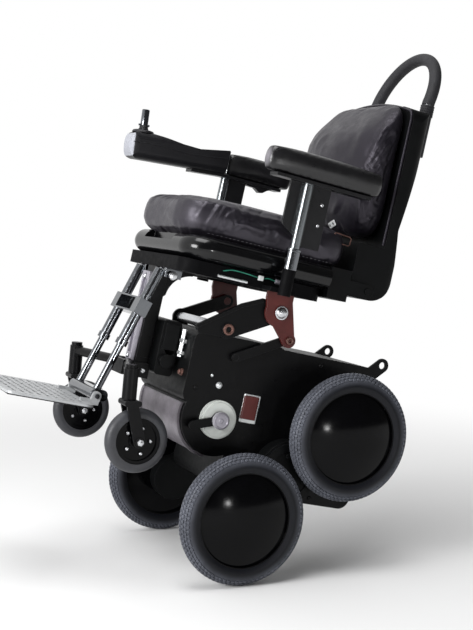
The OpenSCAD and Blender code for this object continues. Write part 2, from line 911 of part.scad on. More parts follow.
// Push handle
module push_handle() {
    color([0.5, 0.5, 0.52]) in_chair() {
        translate([0, hoop_y, hoop_z]) rotate([90 - hoop_lean, 0, 0])
            rotate_extrude(angle = 180) translate([hoop_r, 0]) circle(handle_r);
        both_sides() translate([hoop_r, leg_y + bend_r, bend_z]) rotate([90, 0, 90])
            rotate([0, 0, 178 - hoop_lean]) rotate_extrude(angle = hoop_lean + 2)
            translate([bend_r, 0]) circle(handle_r + 0.2);
        both_sides() translate([hoop_r, leg_y, leg_low]) cylinder(r = handle_r, h = bend_z + 1 - leg_low);
    }
}

module handle_grip() {
    color([0.12, 0.12, 0.13]) in_chair() {
        translate([0, hoop_y, hoop_z]) rotate([90 - hoop_lean, 0, 0])
            rotate_extrude(angle = 180) translate([hoop_r, 0]) difference() {
                circle(grip_r);
                circle(handle_r + 0.55);
            }
        both_sides() translate([hoop_r, leg_y + bend_r, bend_z]) rotate([90, 0, 90])
            rotate([0, 0, 179 - hoop_lean]) rotate_extrude(angle = hoop_lean + 1)
            translate([bend_r, 0]) difference() {
                circle(grip_r + 0.3);
                circle(handle_r + 0.3);
            }
    }
}

// Sleeves on the back of the shell, each with a ribbed collar and two saddles
module handle_collars() {
    top = bend_z - 2;
    color([0.05, 0.05, 0.05]) in_chair() both_sides() translate([hoop_r, leg_y, 0]) difference() {
        union() {
            rotate_extrude() {
                translate([2, leg_low]) square([sleeve_r - 2, top - leg_low]);
                for (k = [0:4]) translate([2, top - 4 - 6 * k]) square([sleeve_r, 3.4]);
            }
            for (z = [leg_low + 12, leg_low + 62])
                block([-26, -sleeve_r, z], [26, -6, z + 22]);
        }
        translate([0, 0, leg_low - 1]) cylinder(r = handle_r + fit, h = 400);
        block([-30, -2 * sleeve_r, top - 40], [30, -sleeve_r - 0.1, top + 2]);
    }
}

// Armrests
module arm_post(y0) {
    translate([arm_x, post_y, tray_z + 8]) cylinder(r = post_r, h = arm_z - 8 - tray_z - 8);
    block([arm_x - 4, post_y + post_r - 3, socket_z + 8], [arm_x + 4, post_y + 62, arm_z - 7]);
    block([arm_x - 20, y0, arm_z - 8], [arm_x + 20, pad_rear - 30, arm_z - 0.2]);
}

module left_arm_post() {
    color([0.2, 0.2, 0.22]) in_chair() {
        arm_post(pad_front + 30);
        along_x(arm_x - 14, arm_x - 8) polygon([[post_y - 4, arm_z - 7], [post_y - 42, arm_z - 7],
            [post_y - 42, arm_z - 112], [post_y - 4, arm_z - 136]]);
    }
}

module left_arm_pad() {
    color([0.16, 0.16, 0.18]) in_chair() translate([arm_x, (pad_front + pad_rear) / 2, arm_z])
        soft_pad([pad_w, pad_l, pad_h - 5], 4, 0.0, 5, 14);
}

module on_pod() {
    translate([0, split_y, arm_z + right_raise]) rotate([pod_tilt, 0, 0])
        translate([0, -split_y, -arm_z]) children();
}

// The carrier under the right pad, with a tongue that droops under the pod
module right_arm_post() {
    color([0.2, 0.2, 0.22]) in_chair() mirrored() {
        translate([0, 0, right_raise]) {
            arm_post(split_y - 1);
            along_x(arm_x - 9, arm_x + 9) polygon([[-76, arm_z - 7], [-70, arm_z - 13], [-46, arm_z - 14],
                [-30, arm_z - 24], [-20, arm_z - 22], [-8, arm_z - 13], [10, arm_z - 7]]);
        }
        on_pod() block([arm_x - 20, split_y - 96, arm_z - 8], [arm_x + 20, split_y + 0.5, arm_z - 0.2]);
    }
}

module right_arm_pad() {
    color([0.16, 0.16, 0.18]) in_chair()
        translate([-arm_x, (split_y + 1 + pad_rear) / 2, arm_z + right_raise])
        soft_pad([pad_w, pad_rear - split_y - 1, pad_h - 5], 5, 0.0, 5, 10);
}

module pod_side() {
    y0 = pod_front;
    r = pod_top - arm_z;
    polygon(concat([for (a = [-80:10:80]) [y0 + 30 - 28 * cos(a), arm_z + r / 2 + r / 2 * sin(a)]],
        [[y0 + 60, pod_top], [y0 + 104, pod_top - 6], [y0 + 150, pod_top - 15], [y0 + 200, pod_top - 20],
        [split_y - 30, pod_top - 14], [split_y + 5, arm_z + 64], [split_y, arm_z], [split_y - 40, arm_z]]));
}

module joystick_pod() {
    color([0.14, 0.15, 0.17]) in_chair() on_pod() difference() {
        intersection() {
            along_x(-arm_x - pod_w / 2, -arm_x + pod_w / 2) pod_side();
            translate([0, 0, arm_z - 10]) linear_extrude(120)
                round2d([-arm_x - pod_w / 2, pod_front], [-arm_x + pod_w / 2, split_y + 30], 28);
            translate([0, split_y + 8, 0]) rotate([90, 0, 0]) linear_extrude(pod_l + 20)
                round2d([-arm_x - pod_w / 2, arm_z - 0.5], [-arm_x + pod_w / 2, pod_top + 0.5], 22);
        }
        translate([-arm_x, stick_y, pod_top - 18]) cylinder(r = well_r, h = 40);
        translate([-arm_x, stick_y, pod_top - 8]) both_sides() disc(well_r - 1, well_r + 4, 2.5 + run);
    }
}

module joystick_ring() {
    color([0.3, 0.3, 0.32]) in_chair() on_pod() translate([-arm_x, stick_y, pod_top - 8]) {
        difference() {
            cylinder(r = well_r - 3, h = 8, center = true);
            cylinder(r = well_r - 6.5, h = 10, center = true);
            rotate([90, 0, 0]) cylinder(r = 2.2 + run, h = 60, center = true);
        }
        both_sides() disc(well_r - 4, well_r + 3.6, 2.5);
    }
}

module joystick_stick() {
    color([0.4, 0.41, 0.44]) in_chair() on_pod() translate([-arm_x, stick_y, pod_top - 8]) {
        sphere(r = 7);
        rotate([90, 0, 0]) cylinder(r = 2.2, h = 2 * well_r - 8, center = true);
        cylinder(r = 4, h = 16);
        translate([0, 0, 10]) cylinder(r = 12, h = 4);
        translate([0, 0, 14]) cylinder(r = stick_r, h = stick_h - 3);
        translate([0, 0, 11 + stick_h]) scale([1, 1, 0.6]) sphere(r = stick_r);
    }
}

// Footrest
module on_tube() {
    at(tube_top) rotate([-tube_lean, 0, 0]) mirror([0, 0, 1]) children();
}

module footrest_tubes() {
    color([0.62, 0.63, 0.65]) in_chair() {
        both_sides() difference() {
            on_tube() translate([tube_x, 0, 0]) {
                cylinder(r = tube_r, h = tube_split);
                translate([0, 0, tube_split - 12]) cylinder(r = tube_r + 2.5, h = 14);
            }
            on_tube() translate([tube_x, 0, 96]) cylinder(r = slide_r + run, h = 200);
            block([0, -600, tray_z - 0.2], [tube_x + 60, 0, tray_z + 60]);
        }
        on_tube() difference() {
            translate([-tube_x - 20, -tube_r - 4, 84]) cube([tube_gap + 40, 2 * tube_r + 8, 40]);
            translate([-tube_x + tube_r + 3, -tube_r - 5, 88])
                cube([tube_gap - 2 * tube_r - 6, 2 * tube_r + 6, 32]);
            both_sides() translate([tube_x, 0, 83]) cylinder(r = slide_r + run, h = 60);
        }
        both_sides() difference() {
            block([tube_x - 20, tray_front + 3, tray_z - 22], [tube_x + 24, tray_front + 46, tray_z - 0.2]);
            on_tube() translate([tube_x, 0, -40]) cylinder(r = tube_r - 0.5, h = 120);
        }
    }
}

module footrest_slides() {
    color([0.66, 0.67, 0.69]) in_chair() {
        both_sides() difference() {
            on_tube() translate([tube_x, 0, 124]) cylinder(r = slide_r, h = 240);
            block([0, -700, -100], [200, 0, heel_z1 - 1]);
        }
        along_x(-tube_x - 20, tube_x + 20)
            round2d([heel_at[0] - 14, heel_z0], [heel_at[0] + 30, heel_z1], 13);
        at(heel_at) disc(-tube_x - 34, tube_x + 34, 6);
    }
}

module footplate() {
    pitch_x = (foot_w - 40) / slot_columns;
    pitch_y = (foot_l - 30) / slot_rows;
    long = pitch_x / 2 - 9;
    x0 = tube_x + 21;
    color([0.78, 0.79, 0.8]) in_chair() {
        translate([0, 0, foot_z - foot_t]) linear_extrude(foot_t) difference() {
            round2d([-foot_w / 2, foot_front], [foot_w / 2, foot_rear], 22);
            for (i = [0:slot_columns - 1]) for (j = [0:slot_rows - 1])
                let (x = -foot_w / 2 + 20 + pitch_x * (i + 0.5), y = foot_front + 15 + pitch_y * (j + 0.5))
                slot2d([x - long, y], [x + long, y], 4);
        }
        both_sides() along_x(x0, x0 + 10) difference() {
            union() {
                slot2d(heel_at, [heel_at[0] - 4, foot_z - 2], 11);
                bar2d([foot_rear - 18, foot_z + 3], [heel_at[0] - 4, foot_z + 3], 4);
            }
            translate(heel_at) circle(6 + run);
            translate([foot_front, foot_z - foot_t - 40]) square([foot_l + 60, 40]);
        }
    }
}

base_shell();
left_side_plate();
right_side_plate();
shaft_bearings();
motor_cover();
battery_packs();
wheel_motors();
cluster_motor();
controller();
left_motor_cap();
right_motor_cap();
left_brake_lever();
right_brake_lever();
cluster_shaft();
left_cluster_case();
right_cluster_case();
left_front_tyre();
left_front_wheel();
left_rear_tyre();
left_rear_wheel();
right_front_tyre();
right_front_wheel();
right_rear_tyre();
right_rear_wheel();
left_lift_arm();
right_lift_arm();
lift_tube();
left_lower_link();
right_lower_link();
left_hanger();
right_hanger();
seat_tray();
seat_pan();
seat_cushion();
rear_housing();
front_column();
front_strut();
caster_actuator();
caster_arms();
back_shell();
back_cushion();
handle_collars();
push_handle();
handle_grip();
left_arm_post();
left_arm_pad();
right_arm_post();
right_arm_pad();
joystick_pod();
joystick_ring();
joystick_stick();
left_caster_fork();
left_caster_wheel();
left_caster_tyre();
right_caster_fork();
right_caster_wheel();
right_caster_tyre();
footrest_tubes();
footrest_slides();
footplate();
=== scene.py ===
import json
import math

import bmesh
import bpy
import numpy as np
from mathutils import Matrix, Vector
from mathutils.bvhtree import BVHTree


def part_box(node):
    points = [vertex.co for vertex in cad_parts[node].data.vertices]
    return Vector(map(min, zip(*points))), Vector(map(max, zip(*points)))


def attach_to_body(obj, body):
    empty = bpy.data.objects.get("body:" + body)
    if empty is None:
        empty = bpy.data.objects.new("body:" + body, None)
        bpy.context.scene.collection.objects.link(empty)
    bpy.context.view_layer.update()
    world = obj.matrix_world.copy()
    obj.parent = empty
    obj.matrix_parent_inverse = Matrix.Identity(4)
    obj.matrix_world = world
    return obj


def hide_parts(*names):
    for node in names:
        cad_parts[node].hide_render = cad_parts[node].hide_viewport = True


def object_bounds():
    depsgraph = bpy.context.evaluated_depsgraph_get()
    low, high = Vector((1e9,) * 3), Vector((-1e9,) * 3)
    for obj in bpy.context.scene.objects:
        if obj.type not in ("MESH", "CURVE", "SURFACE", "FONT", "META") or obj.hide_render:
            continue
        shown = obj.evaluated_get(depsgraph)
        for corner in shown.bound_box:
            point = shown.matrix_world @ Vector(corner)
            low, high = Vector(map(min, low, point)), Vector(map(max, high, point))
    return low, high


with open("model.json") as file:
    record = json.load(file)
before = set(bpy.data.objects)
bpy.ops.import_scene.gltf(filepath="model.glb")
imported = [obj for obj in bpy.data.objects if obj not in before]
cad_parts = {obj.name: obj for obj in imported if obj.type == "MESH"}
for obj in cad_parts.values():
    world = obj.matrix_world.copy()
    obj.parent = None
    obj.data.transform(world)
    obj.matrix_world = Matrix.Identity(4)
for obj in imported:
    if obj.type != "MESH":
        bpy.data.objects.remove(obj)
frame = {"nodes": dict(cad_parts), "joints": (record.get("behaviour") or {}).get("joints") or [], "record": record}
cad_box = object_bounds()
nodes = frame["nodes"]
joints = {j["name"]: j for j in frame["joints"]}
scene = bpy.context.scene
scene.view_settings.view_transform = "Standard"


def pivot_of(joint):
    return Vector(joints[joint]["pos_m"])


# The chair's own frame: millimetres from the cluster axis, across, back and up
MM = 0.001
AXLE = pivot_of("cluster_turn")
UP = Vector(joints["handle_slide"]["axis"])
BACK = Vector((0, UP.z, -UP.y))
CHAIR = Matrix.Translation(AXLE) @ Matrix(
    ((1, 0, 0, 0), (0, BACK.y, UP.y, 0), (0, BACK.z, UP.z, 0), (0, 0, 0, 1)))
CHAIR_MM = CHAIR @ Matrix.Scale(MM, 4)
TURN = CHAIR.to_3x3().to_4x4()
SIDES = ((1, "left"), (-1, "right"))
DRIVE_WHEELS = ("left_front", "left_rear", "right_front", "right_rear")

# Pivots of the lift and axis of the motor, as (back, up), and front face of the base
LIFT_BASE = (-218.0, 313.0)
LIFT_SEAT = (-92.6, 379.7)
LINK_SEAT = (-54.6, 316.7)
MOTOR = (-188.0, 94.0)
NOSE = -290.0

# Outer faces of the lift arm, hanger, motor cap and side plate
ARM_FACE, HANGER_FACE, CAP_FACE, PLATE_FACE = 171.0, 178.5, 174.5, 152.0

# Arm posts, and joint, height and tilt of the pod
POST_X, POST_Y = 255.0, -135.0
POD_JOINT, POD_LOW, POD_RAISE = -150.0, 699.0, 17.0
POD_TILT = math.radians(5.0)
POD_FRONT, PAD_FRONT = -433.0, -260.0

# Shell of the backrest
BACK_HALF, BACK_TOP, BACK_CROWN, BACK_CORNER = 204.0, 974.0, 28.0, 40.0
BACK_EDGE = 132.5


def at(x, y, z):
    return CHAIR_MM @ Vector((x, y, z))


def frame_at(x, y, z):
    """A frame with the chair's directions at a place."""
    return Matrix.Translation(at(x, y, z)) @ TURN


def on_pod(x, y, z):
    """A place on the pod, which droops forward from the raised arm pad."""
    y, z = y - POD_JOINT, z - POD_LOW
    c, s = math.cos(POD_TILT), math.sin(POD_TILT)
    return at(x, POD_JOINT + y * c - z * s, POD_LOW + POD_RAISE + y * s + z * c)


POD_BACK = (on_pod(0, 1, 0) - on_pod(0, 0, 0)).normalized()
POD_UP = (on_pod(0, 0, 1) - on_pod(0, 0, 0)).normalized()

# Shader nodes: each input is a socket, which is linked, or a constant
MIX_SOCKETS = {"RGBA": (6, 7, 2), "FLOAT": (2, 3, 0)}
WHITE = (1, 1, 1, 1)


def feed(tree, socket, value):
    if isinstance(value, bpy.types.NodeSocket):
        tree.links.new(value, socket)
    else:
        socket.default_value = value


def add(tree, kind, **values):
    """A new node; a value is a property of it, or an input with its spaces as underscores."""
    node = tree.nodes.new("ShaderNode" + kind)
    for key, value in values.items():
        if hasattr(node, key):
            setattr(node, key, value)
        else:
            feed(tree, node.inputs[key.replace("_", " ")], value)
    return node


def calc(tree, operation, *values, vector=False):
    node = add(tree, "VectorMath" if vector else "Math", operation=operation)
    for socket, value in zip(node.inputs, values):
        feed(tree, socket, value)
    number = not vector or operation in ("DOT_PRODUCT", "LENGTH")
    return node.outputs["Value" if number else "Vector"]


def faded(tree, value, low, high, start=0.0, end=1.0, smooth=False):
    """A value mapped from low and high to start and end, and held beyond them."""
    way = "SMOOTHSTEP" if smooth else "LINEAR"
    return add(tree, "MapRange", interpolation_type=way, Value=value, From_Min=low, From_Max=high,
               To_Min=start, To_Max=end).outputs["Result"]


def mix(tree, share, first, second, kind="RGBA"):
    node = add(tree, "Mix", data_type=kind)
    first_in, second_in, out = MIX_SOCKETS[kind]
    for place, value in ((0, share), (first_in, first), (second_in, second)):
        feed(tree, node.inputs[place], value)
    return node.outputs[out]


def mix_shaders(tree, share, first, second, output):
    """Two shaders blended into a tree's output."""
    node = add(tree, "MixShader", Fac=share)
    feed(tree, node.inputs[1], first)
    feed(tree, node.inputs[2], second)
    feed(tree, tree.nodes[output].inputs["Surface"], node.outputs["Shader"])


def place_of(tree):
    return add(tree, "TexCoord").outputs["Object"]


def cloudy(tree, cloud, colour, share):
    """A colour that varies by a share with a noise."""
    ramp = add(tree, "ValToRGB", Fac=cloud)
    for element, place, level in zip(ramp.color_ramp.elements, (0.3, 0.7), (1 - share, 1 + share)):
        element.position = place
        element.color = (*(c * level for c in colour), 1)
    return ramp.outputs["Color"]


def grain_height(tree, coord, grain, pitch):
    """Height of the fine grain: a plain weave, leather cells or dust."""
    if grain == "weave":
        threads = [add(tree, "TexWave", bands_direction=way, Vector=coord, Scale=0.314 / pitch,
                       Distortion=0.6, Detail_Scale=2.0).outputs["Fac"] for way in ("X", "Z")]
        return calc(tree, "MAXIMUM", *threads)
    if grain == "leather":
        return add(tree, "TexVoronoi", Vector=coord, Scale=1 / pitch).outputs["Distance"]
    return add(tree, "TexNoise", Vector=coord, Scale=1 / pitch, Detail=3.0).outputs["Fac"]


def worn(tree, shown, bevel, smear, colour, share):
    """Another colour in patches along the edges, where the bevelled normal leaves the true one."""
    facing = calc(tree, "DOT_PRODUCT", bevel, add(tree, "NewGeometry").outputs["Normal"], vector=True)
    rub = faded(tree, facing, 0.99, 0.75, 0.0, share)
    return mix(tree, calc(tree, "MULTIPLY", rub, smear), shown, (*colour, 1))


def finish(name, colour, rough, metal=0.0, spec=0.5, coat=0.0, sheen=0.0, tint=None, vary=0.2, size=0.04,
           rough_vary=0.08, grain="dust", grain_size=0.001, grain_depth=0.00008, edge=0.0012,
           wear=None, wear_share=0.6, stretch=None):
    """A material with a cloudy colour, uneven gloss, fine grain, soft edges and wear on them."""
    mat = bpy.data.materials.new(name)
    mat.use_nodes = True
    tree = mat.node_tree
    bsdf = tree.nodes["Principled BSDF"]
    for key, value in (("Metallic", metal), ("Specular IOR Level", spec), ("Coat Weight", coat),
                       ("Coat Roughness", 0.06), ("Sheen Weight", sheen), ("Sheen Roughness", 0.4)):
        bsdf.inputs[key].default_value = value
    if tint:
        for key in ("Sheen Tint", "Specular Tint"):
            bsdf.inputs[key].default_value = (*tint, 1)
    coord = place_of(tree)
    if stretch:
        coord = add(tree, "Mapping", Vector=coord, Scale=stretch).outputs["Vector"]
    cloud = add(tree, "TexNoise", Vector=coord, Scale=1 / size, Detail=6.0, Roughness=0.62)
    shown = cloudy(tree, cloud.outputs["Fac"], colour, vary)
    smear = add(tree, "TexNoise", Vector=coord, Scale=2.7 / size, Detail=4.0, Roughness=0.7).outputs["Fac"]
    gloss = faded(tree, smear, 0.3, 0.7, max(rough - rough_vary, 0.02), min(rough + rough_vary, 1.0))
    height = grain_height(tree, coord, grain, grain_size)
    bump = add(tree, "Bump", Strength=1.0, Distance=grain_depth, Height=height)
    if edge:
        bevel = add(tree, "Bevel", samples=4, Radius=edge).outputs["Normal"]
        feed(tree, bump.inputs["Normal"], bevel)
        if wear:
            shown = worn(tree, shown, bevel, smear, wear, wear_share)
    for key, value in (("Base Color", shown), ("Roughness", gloss), ("Normal", bump.outputs["Normal"])):
        feed(tree, bsdf.inputs[key], value)
    return mat


def repaint(mat, key, share, colour, kind="RGBA"):
    """A constant over a material's input, by a share."""
    tree = mat.node_tree
    socket = tree.nodes["Principled BSDF"].inputs[key]
    feed(tree, socket, mix(tree, share, socket.links[0].from_socket, colour, kind))


def painted_shade_middle(mat, colour, low, high):
    """Painted shade: a darker colour towards the middle of a wheel: full within the radius low, gone beyond high.
    """
    tree = mat.node_tree
    flat = calc(tree, "MULTIPLY", place_of(tree), (0, 1, 1), vector=True)
    radius = calc(tree, "LENGTH", flat, vector=True)
    repaint(mat, "Base Color", faded(tree, radius, low, high, 1.0, 0.0, smooth=True), (*colour, 1))


def chrome_core(mat, reach, colour, rough):
    """Chrome where a material lies within reach of an arm post's axis."""
    tree = mat.node_tree
    place = calc(tree, "SUBTRACT", place_of(tree), at(0, POST_Y, 0), vector=True)
    across = calc(tree, "ABSOLUTE", add(tree, "SeparateXYZ", Vector=place).outputs["X"])
    flat = add(tree, "CombineXYZ", X=calc(tree, "SUBTRACT", across, POST_X * MM),
               Y=calc(tree, "DOT_PRODUCT", place, BACK, vector=True))
    far = calc(tree, "LENGTH", flat.outputs["Vector"], vector=True)
    bare = calc(tree, "LESS_THAN", far, reach * MM)
    repaint(mat, "Base Color", bare, (*colour, 1))
    repaint(mat, "Roughness", bare, rough, "FLOAT")
    feed(tree, tree.nodes["Principled BSDF"].inputs["Metallic"], bare)


def pale_cap_and_painted_light(mat, origin, along, colour, length):
    """A paler end, which is a real pale cap on the pod and painted light on the lit end of the near arm pad: full
    ahead of the origin, gone at a length behind it.
    """
    tree = mat.node_tree
    place = calc(tree, "SUBTRACT", place_of(tree), origin, vector=True)
    behind = calc(tree, "DOT_PRODUCT", place, along, vector=True)
    repaint(mat, "Base Color", faded(tree, behind, 0.0, length * MM, 1.0, 0.0, smooth=True), (*colour, 1))


# Materials
BARE = (0.3, 0.3, 0.31)
SCUFFED = (0.06, 0.06, 0.065)
GLOSS = dict(grain_size=0.02, rough_vary=0.03, grain_depth=0.00003, edge=0.0006)
CLOTH = dict(colour=(0.006, 0.0052, 0.0078), rough=0.42, sheen=0.03, vary=0.25, size=0.06, grain="weave",
             grain_size=0.0007, grain_depth=0.00003, edge=0)
VINYL = dict(colour=(0.004, 0.0038, 0.0046), rough=0.34, spec=0.6, vary=0.2, grain="leather",
             grain_size=0.0016, grain_depth=0.00012, edge=0)
FINISHES = {
    "black_housing": dict(colour=(0.003, 0.0033, 0.0036), rough=0.42, spec=0.12, wear=(0.04, 0.04, 0.045)),
    "black_metal": dict(colour=(0.003, 0.003, 0.0034), rough=0.34, spec=0.13, wear=BARE, wear_share=0.3),
    "gloss_black": dict(GLOSS, colour=(0.0016, 0.0016, 0.002), rough=0.14, spec=0.12),
    "gloss_pan": dict(GLOSS, colour=(0.0018, 0.0018, 0.0022), rough=0.16, spec=0.4),
    "dark_tray": dict(colour=(0.0025, 0.0025, 0.003), rough=0.6, spec=0.06, vary=0.3,
                      wear=(0.05, 0.05, 0.055)),
    "bare_steel": dict(colour=(0.62, 0.63, 0.65), rough=0.26, metal=1.0, vary=0.12, stretch=(40, 1, 1)),
    "dark_chrome": dict(colour=(0.17, 0.178, 0.19), rough=0.16, metal=1.0, vary=0.08, rough_vary=0.05,
                        grain_depth=0.00001),
    "post_chrome": dict(colour=(0.005, 0.005, 0.006), rough=0.34, spec=0.35, wear=BARE, wear_share=0.3),
    "grey_metal": dict(colour=(0.34, 0.325, 0.37), rough=0.36, metal=0.6, vary=0.18, wear=(0.6, 0.6, 0.6)),
    "cover_metal": dict(colour=(0.17, 0.155, 0.175), rough=0.42, metal=0.55, vary=0.25,
                        wear=(0.4, 0.4, 0.42)),
    "bright_alu": dict(colour=(0.8, 0.82, 0.83), rough=0.3, metal=0.75, vary=0.1, stretch=(1, 12, 1)),
    "foot_alu": dict(colour=(0.4, 0.41, 0.42), rough=0.42, metal=0.35, vary=0.12, wear=(0.55, 0.56, 0.57)),
    "copper": dict(colour=(0.15, 0.078, 0.064), rough=0.36, metal=0.6, vary=0.25),
    "maroon_paint": dict(colour=(0.085, 0.015, 0.013), rough=0.36, spec=0.25, coat=0.1, vary=0.22,
                         wear=(0.4, 0.34, 0.33)),
    "battery": dict(colour=(0.06, 0.08, 0.12), rough=0.5, vary=0.1),
    "board": dict(colour=(0.06, 0.16, 0.09), rough=0.5, vary=0.15),
    "cream_plastic": dict(colour=(0.62, 0.65, 0.62), rough=0.38, vary=0.08, wear=(0.3, 0.28, 0.25)),
    "white_plastic": dict(colour=(0.68, 0.7, 0.7), rough=0.4, vary=0.06),
    "pod_plastic": dict(colour=(0.012, 0.0115, 0.014), rough=0.42, spec=0.4, vary=0.15, wear=SCUFFED),
    "pod_shell": dict(colour=(0.009, 0.0088, 0.0105), rough=0.42, spec=0.3, vary=0.15, wear=SCUFFED),
    "tyre_rubber": dict(colour=(0.085, 0.09, 0.108), rough=0.46, spec=0.2, vary=0.3, size=0.05,
                        grain_size=0.0014, grain_depth=0.00015, edge=0),
    "caster_rubber": dict(colour=(0.028, 0.029, 0.034), rough=0.5, vary=0.3, size=0.03,
                          grain_size=0.0014, grain_depth=0.0001, edge=0),
    "rubber_boot": dict(colour=(0.006, 0.006, 0.007), rough=0.5, spec=0.35),
    "foam": dict(colour=(0.014, 0.014, 0.017), rough=0.66, spec=0.4, vary=0.25, size=0.02,
                 grain_size=0.0012, grain_depth=0.0003, edge=0),
    "green_wire": dict(colour=(0.02, 0.2, 0.13), rough=0.4, edge=0),
    "seat_cloth": dict(CLOTH, spec=0.7, tint=(0.92, 0.87, 1.0)),
    "back_cloth": dict(CLOTH, spec=0.4, tint=(0.92, 0.86, 1.0)),
    "arm_vinyl": VINYL,
    "left_vinyl_painted_lit_end": VINYL,
}
M = {name: finish(name, **look) for name, look in FINISHES.items()}
# Painted shade: the drive tyres' sidewalls darken towards the rim, standing in for the shade on a rounder sidewall
painted_shade_middle(M["tyre_rubber"], (0.006, 0.0065, 0.009), 0.128, 0.150)
chrome_core(M["post_chrome"], 12.6, (0.2, 0.215, 0.225), 0.24)
pale_cap_and_painted_light(M["pod_shell"], on_pod(0, POD_FRONT + 13, 0), POD_BACK, (0.34, 0.35, 0.39), 2.0)
# Painted light: the near arm pad's front end is paler, standing in for the light that falls on it from the front
pale_cap_and_painted_light(M["left_vinyl_painted_lit_end"], at(0, PAD_FRONT + 1, 0), BACK, (0.2, 0.19, 0.215), 9.0)

# Nodes whose material isn't the one of their slot
OWN = {
    "joystick_pod": "pod_shell", "joystick_stick": "dark_chrome", "seat_tray": "dark_tray",
    "seat_pan": "gloss_pan", "footrest_tubes": "dark_chrome", "footrest_slides": "dark_chrome",
    "footplate": "foot_alu", "motor_cover": "cover_metal", "left_caster_tyre": "caster_rubber",
    "right_caster_tyre": "caster_rubber",
}
for entry in frame["record"]["subparts"]:
    if entry["node"] in nodes:
        slots = nodes[entry["node"]].data.materials
        slots.clear()
        slots.append(M[OWN.get(entry["node"], entry["material_slot"])])


# Mesh helpers
def ring(centre, side, other, radius, count):
    """Points of a circle in the plane of two directions; its radius is in millimetres."""
    turns = (math.tau * k / count for k in range(count))
    return [centre + (side * math.cos(a) + other * math.sin(a)) * radius * MM for a in turns]


def weld(bm, distance):
    bmesh.ops.remove_doubles(bm, verts=bm.verts, dist=distance)
    bmesh.ops.recalc_face_normals(bm, faces=bm.faces)


def smooth(mesh):
    mesh.polygons.foreach_set("use_smooth", [True] * len(mesh.polygons))


def attach(obj, body):
    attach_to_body(obj, body)


class Build:
    """Gathers rings, tubes, slabs and turned forms in the row frame into one mesh."""

    def __init__(self):
        self.verts = []
        self.faces = []

    def grid(self, rows, cap=False):
        base, n = len(self.verts), len(rows[0])
        for row in rows:
            self.verts.extend(Vector(p) for p in row)
        for j in range(len(rows) - 1):
            low, high = base + j * n, base + (j + 1) * n
            for k in range(n):
                e = (k + 1) % n
                self.faces.append((low + k, low + e, high + e, high + k))
        if cap:
            self.faces.append(tuple(base + k for k in reversed(range(n))))
            top = base + (len(rows) - 1) * n
            self.faces.append(tuple(top + k for k in range(n)))
        return self

    def turned(self, origin, axis, profile, steps=24, cap=True):
        """A profile of (radius, height) pairs turned about an axis; sizes in millimetres."""
        axis = Vector(axis).normalized()
        side = axis.orthogonal().normalized()
        other = axis.cross(side)
        return self.grid([ring(origin + axis * height * MM, side, other, radius, steps)
                          for radius, height in profile], cap=cap)

    def tube(self, points, radius, sides=10):
        """A round tube along points, with closed ends; radius in millimetres."""
        points = [Vector(p) for p in points]
        side = (points[1] - points[0]).normalized().orthogonal().normalized()
        rows = []
        for i, p in enumerate(points):
            tangent = (points[min(i + 1, len(points) - 1)] - points[max(i - 1, 0)]).normalized()
            side = (side - tangent * side.dot(tangent)).normalized()
            rows.append(ring(p, side, tangent.cross(side), radius, sides))
        return self.grid(rows, cap=True)

    def slab(self, place, size, round_by=1.5):
        """A block with rounded edges, centred on a frame; sizes in millimetres."""
        bm = bmesh.new()
        bmesh.ops.create_cube(bm, size=1.0, matrix=Matrix.Diagonal((*size, 1)))
        bmesh.ops.bevel(bm, geom=list(bm.edges), offset=round_by, segments=2, affect="EDGES")
        bm.verts.index_update()
        base = len(self.verts)
        self.verts.extend(place @ (v.co * MM) for v in bm.verts)
        self.faces.extend(tuple(base + v.index for v in f.verts) for f in bm.faces)
        bm.free()
        return self

    def mesh(self, name, material):
        mesh = bpy.data.meshes.new(name)
        mesh.from_pydata([tuple(v) for v in self.verts], [], self.faces)
        bm = bmesh.new()
        bm.from_mesh(mesh)
        weld(bm, 1e-6)
        bm.to_mesh(mesh)
        bm.free()
        mesh.validate()
        mesh.materials.append(M[material])
        smooth(mesh)
        mesh.set_sharp_from_angle(angle=math.radians(38))
        return mesh

    def done(self, name, material, body):
        obj = bpy.data.objects.new(name, self.mesh(name, material))
        scene.collection.objects.link(obj)
        attach(obj, body)


def bolt(build, place, axis, r, h):
    """A round head with a socket."""
    build.turned(place, axis, [(r * 0.97, 0), (r, h * 0.25), (r * 0.92, h * 0.62), (r * 0.66, h),
                               (r * 0.5, h), (r * 0.46, h * 0.5)], 20)


def bolts(name, material, body, seats, r, h):
    """Bolt heads of one size as one piece; each seat is a place and the direction that it faces."""
    heads = Build()
    for place, axis in seats:
        bolt(heads, place, axis, r, h)
    heads.done(name, material, body)


def nut(build, place, axis, r, h):
    """A hexagon nut with the end of its bolt."""
    build.turned(place, axis, [(r, 0), (r, h * 0.8), (r * 0.86, h)], 6)
    build.turned(place, axis, [(r * 0.52, h * 0.5), (r * 0.52, h * 1.35), (r * 0.4, h * 1.5)], 16)


def smooth_path(points, steps):
    """Points on a smooth curve through the given ones."""
    pts = [Vector(p) for p in points]
    pts = [pts[0] * 2 - pts[1]] + pts + [pts[-1] * 2 - pts[-2]]
    out = []
    for i in range(1, len(pts) - 2):
        a, b, c, d = pts[i - 1:i + 3]
        for k in range(steps):
            t = k / steps
            out.append(0.5 * (2 * b + (c - a) * t + (2 * a - 5 * b + 4 * c - d) * t * t
                              + (3 * b - a - 3 * c + d) * t ** 3))
    out.append(pts[-2])
    return out


# Soft pieces, swelled by cloth simulation
SWELL_FRAMES = 20
PRESSURE = 4.0
SEAT_REACH = 54.0
SEAT_CORNER, ROUND_CORNER = 8, 3.6
BACK_WIDER, BACK_FULLER = 1.035, 0.36


def evaluated(obj):
    graph = bpy.context.evaluated_depsgraph_get()
    graph.update()
    return bpy.data.meshes.new_from_object(obj.evaluated_get(graph), depsgraph=graph)


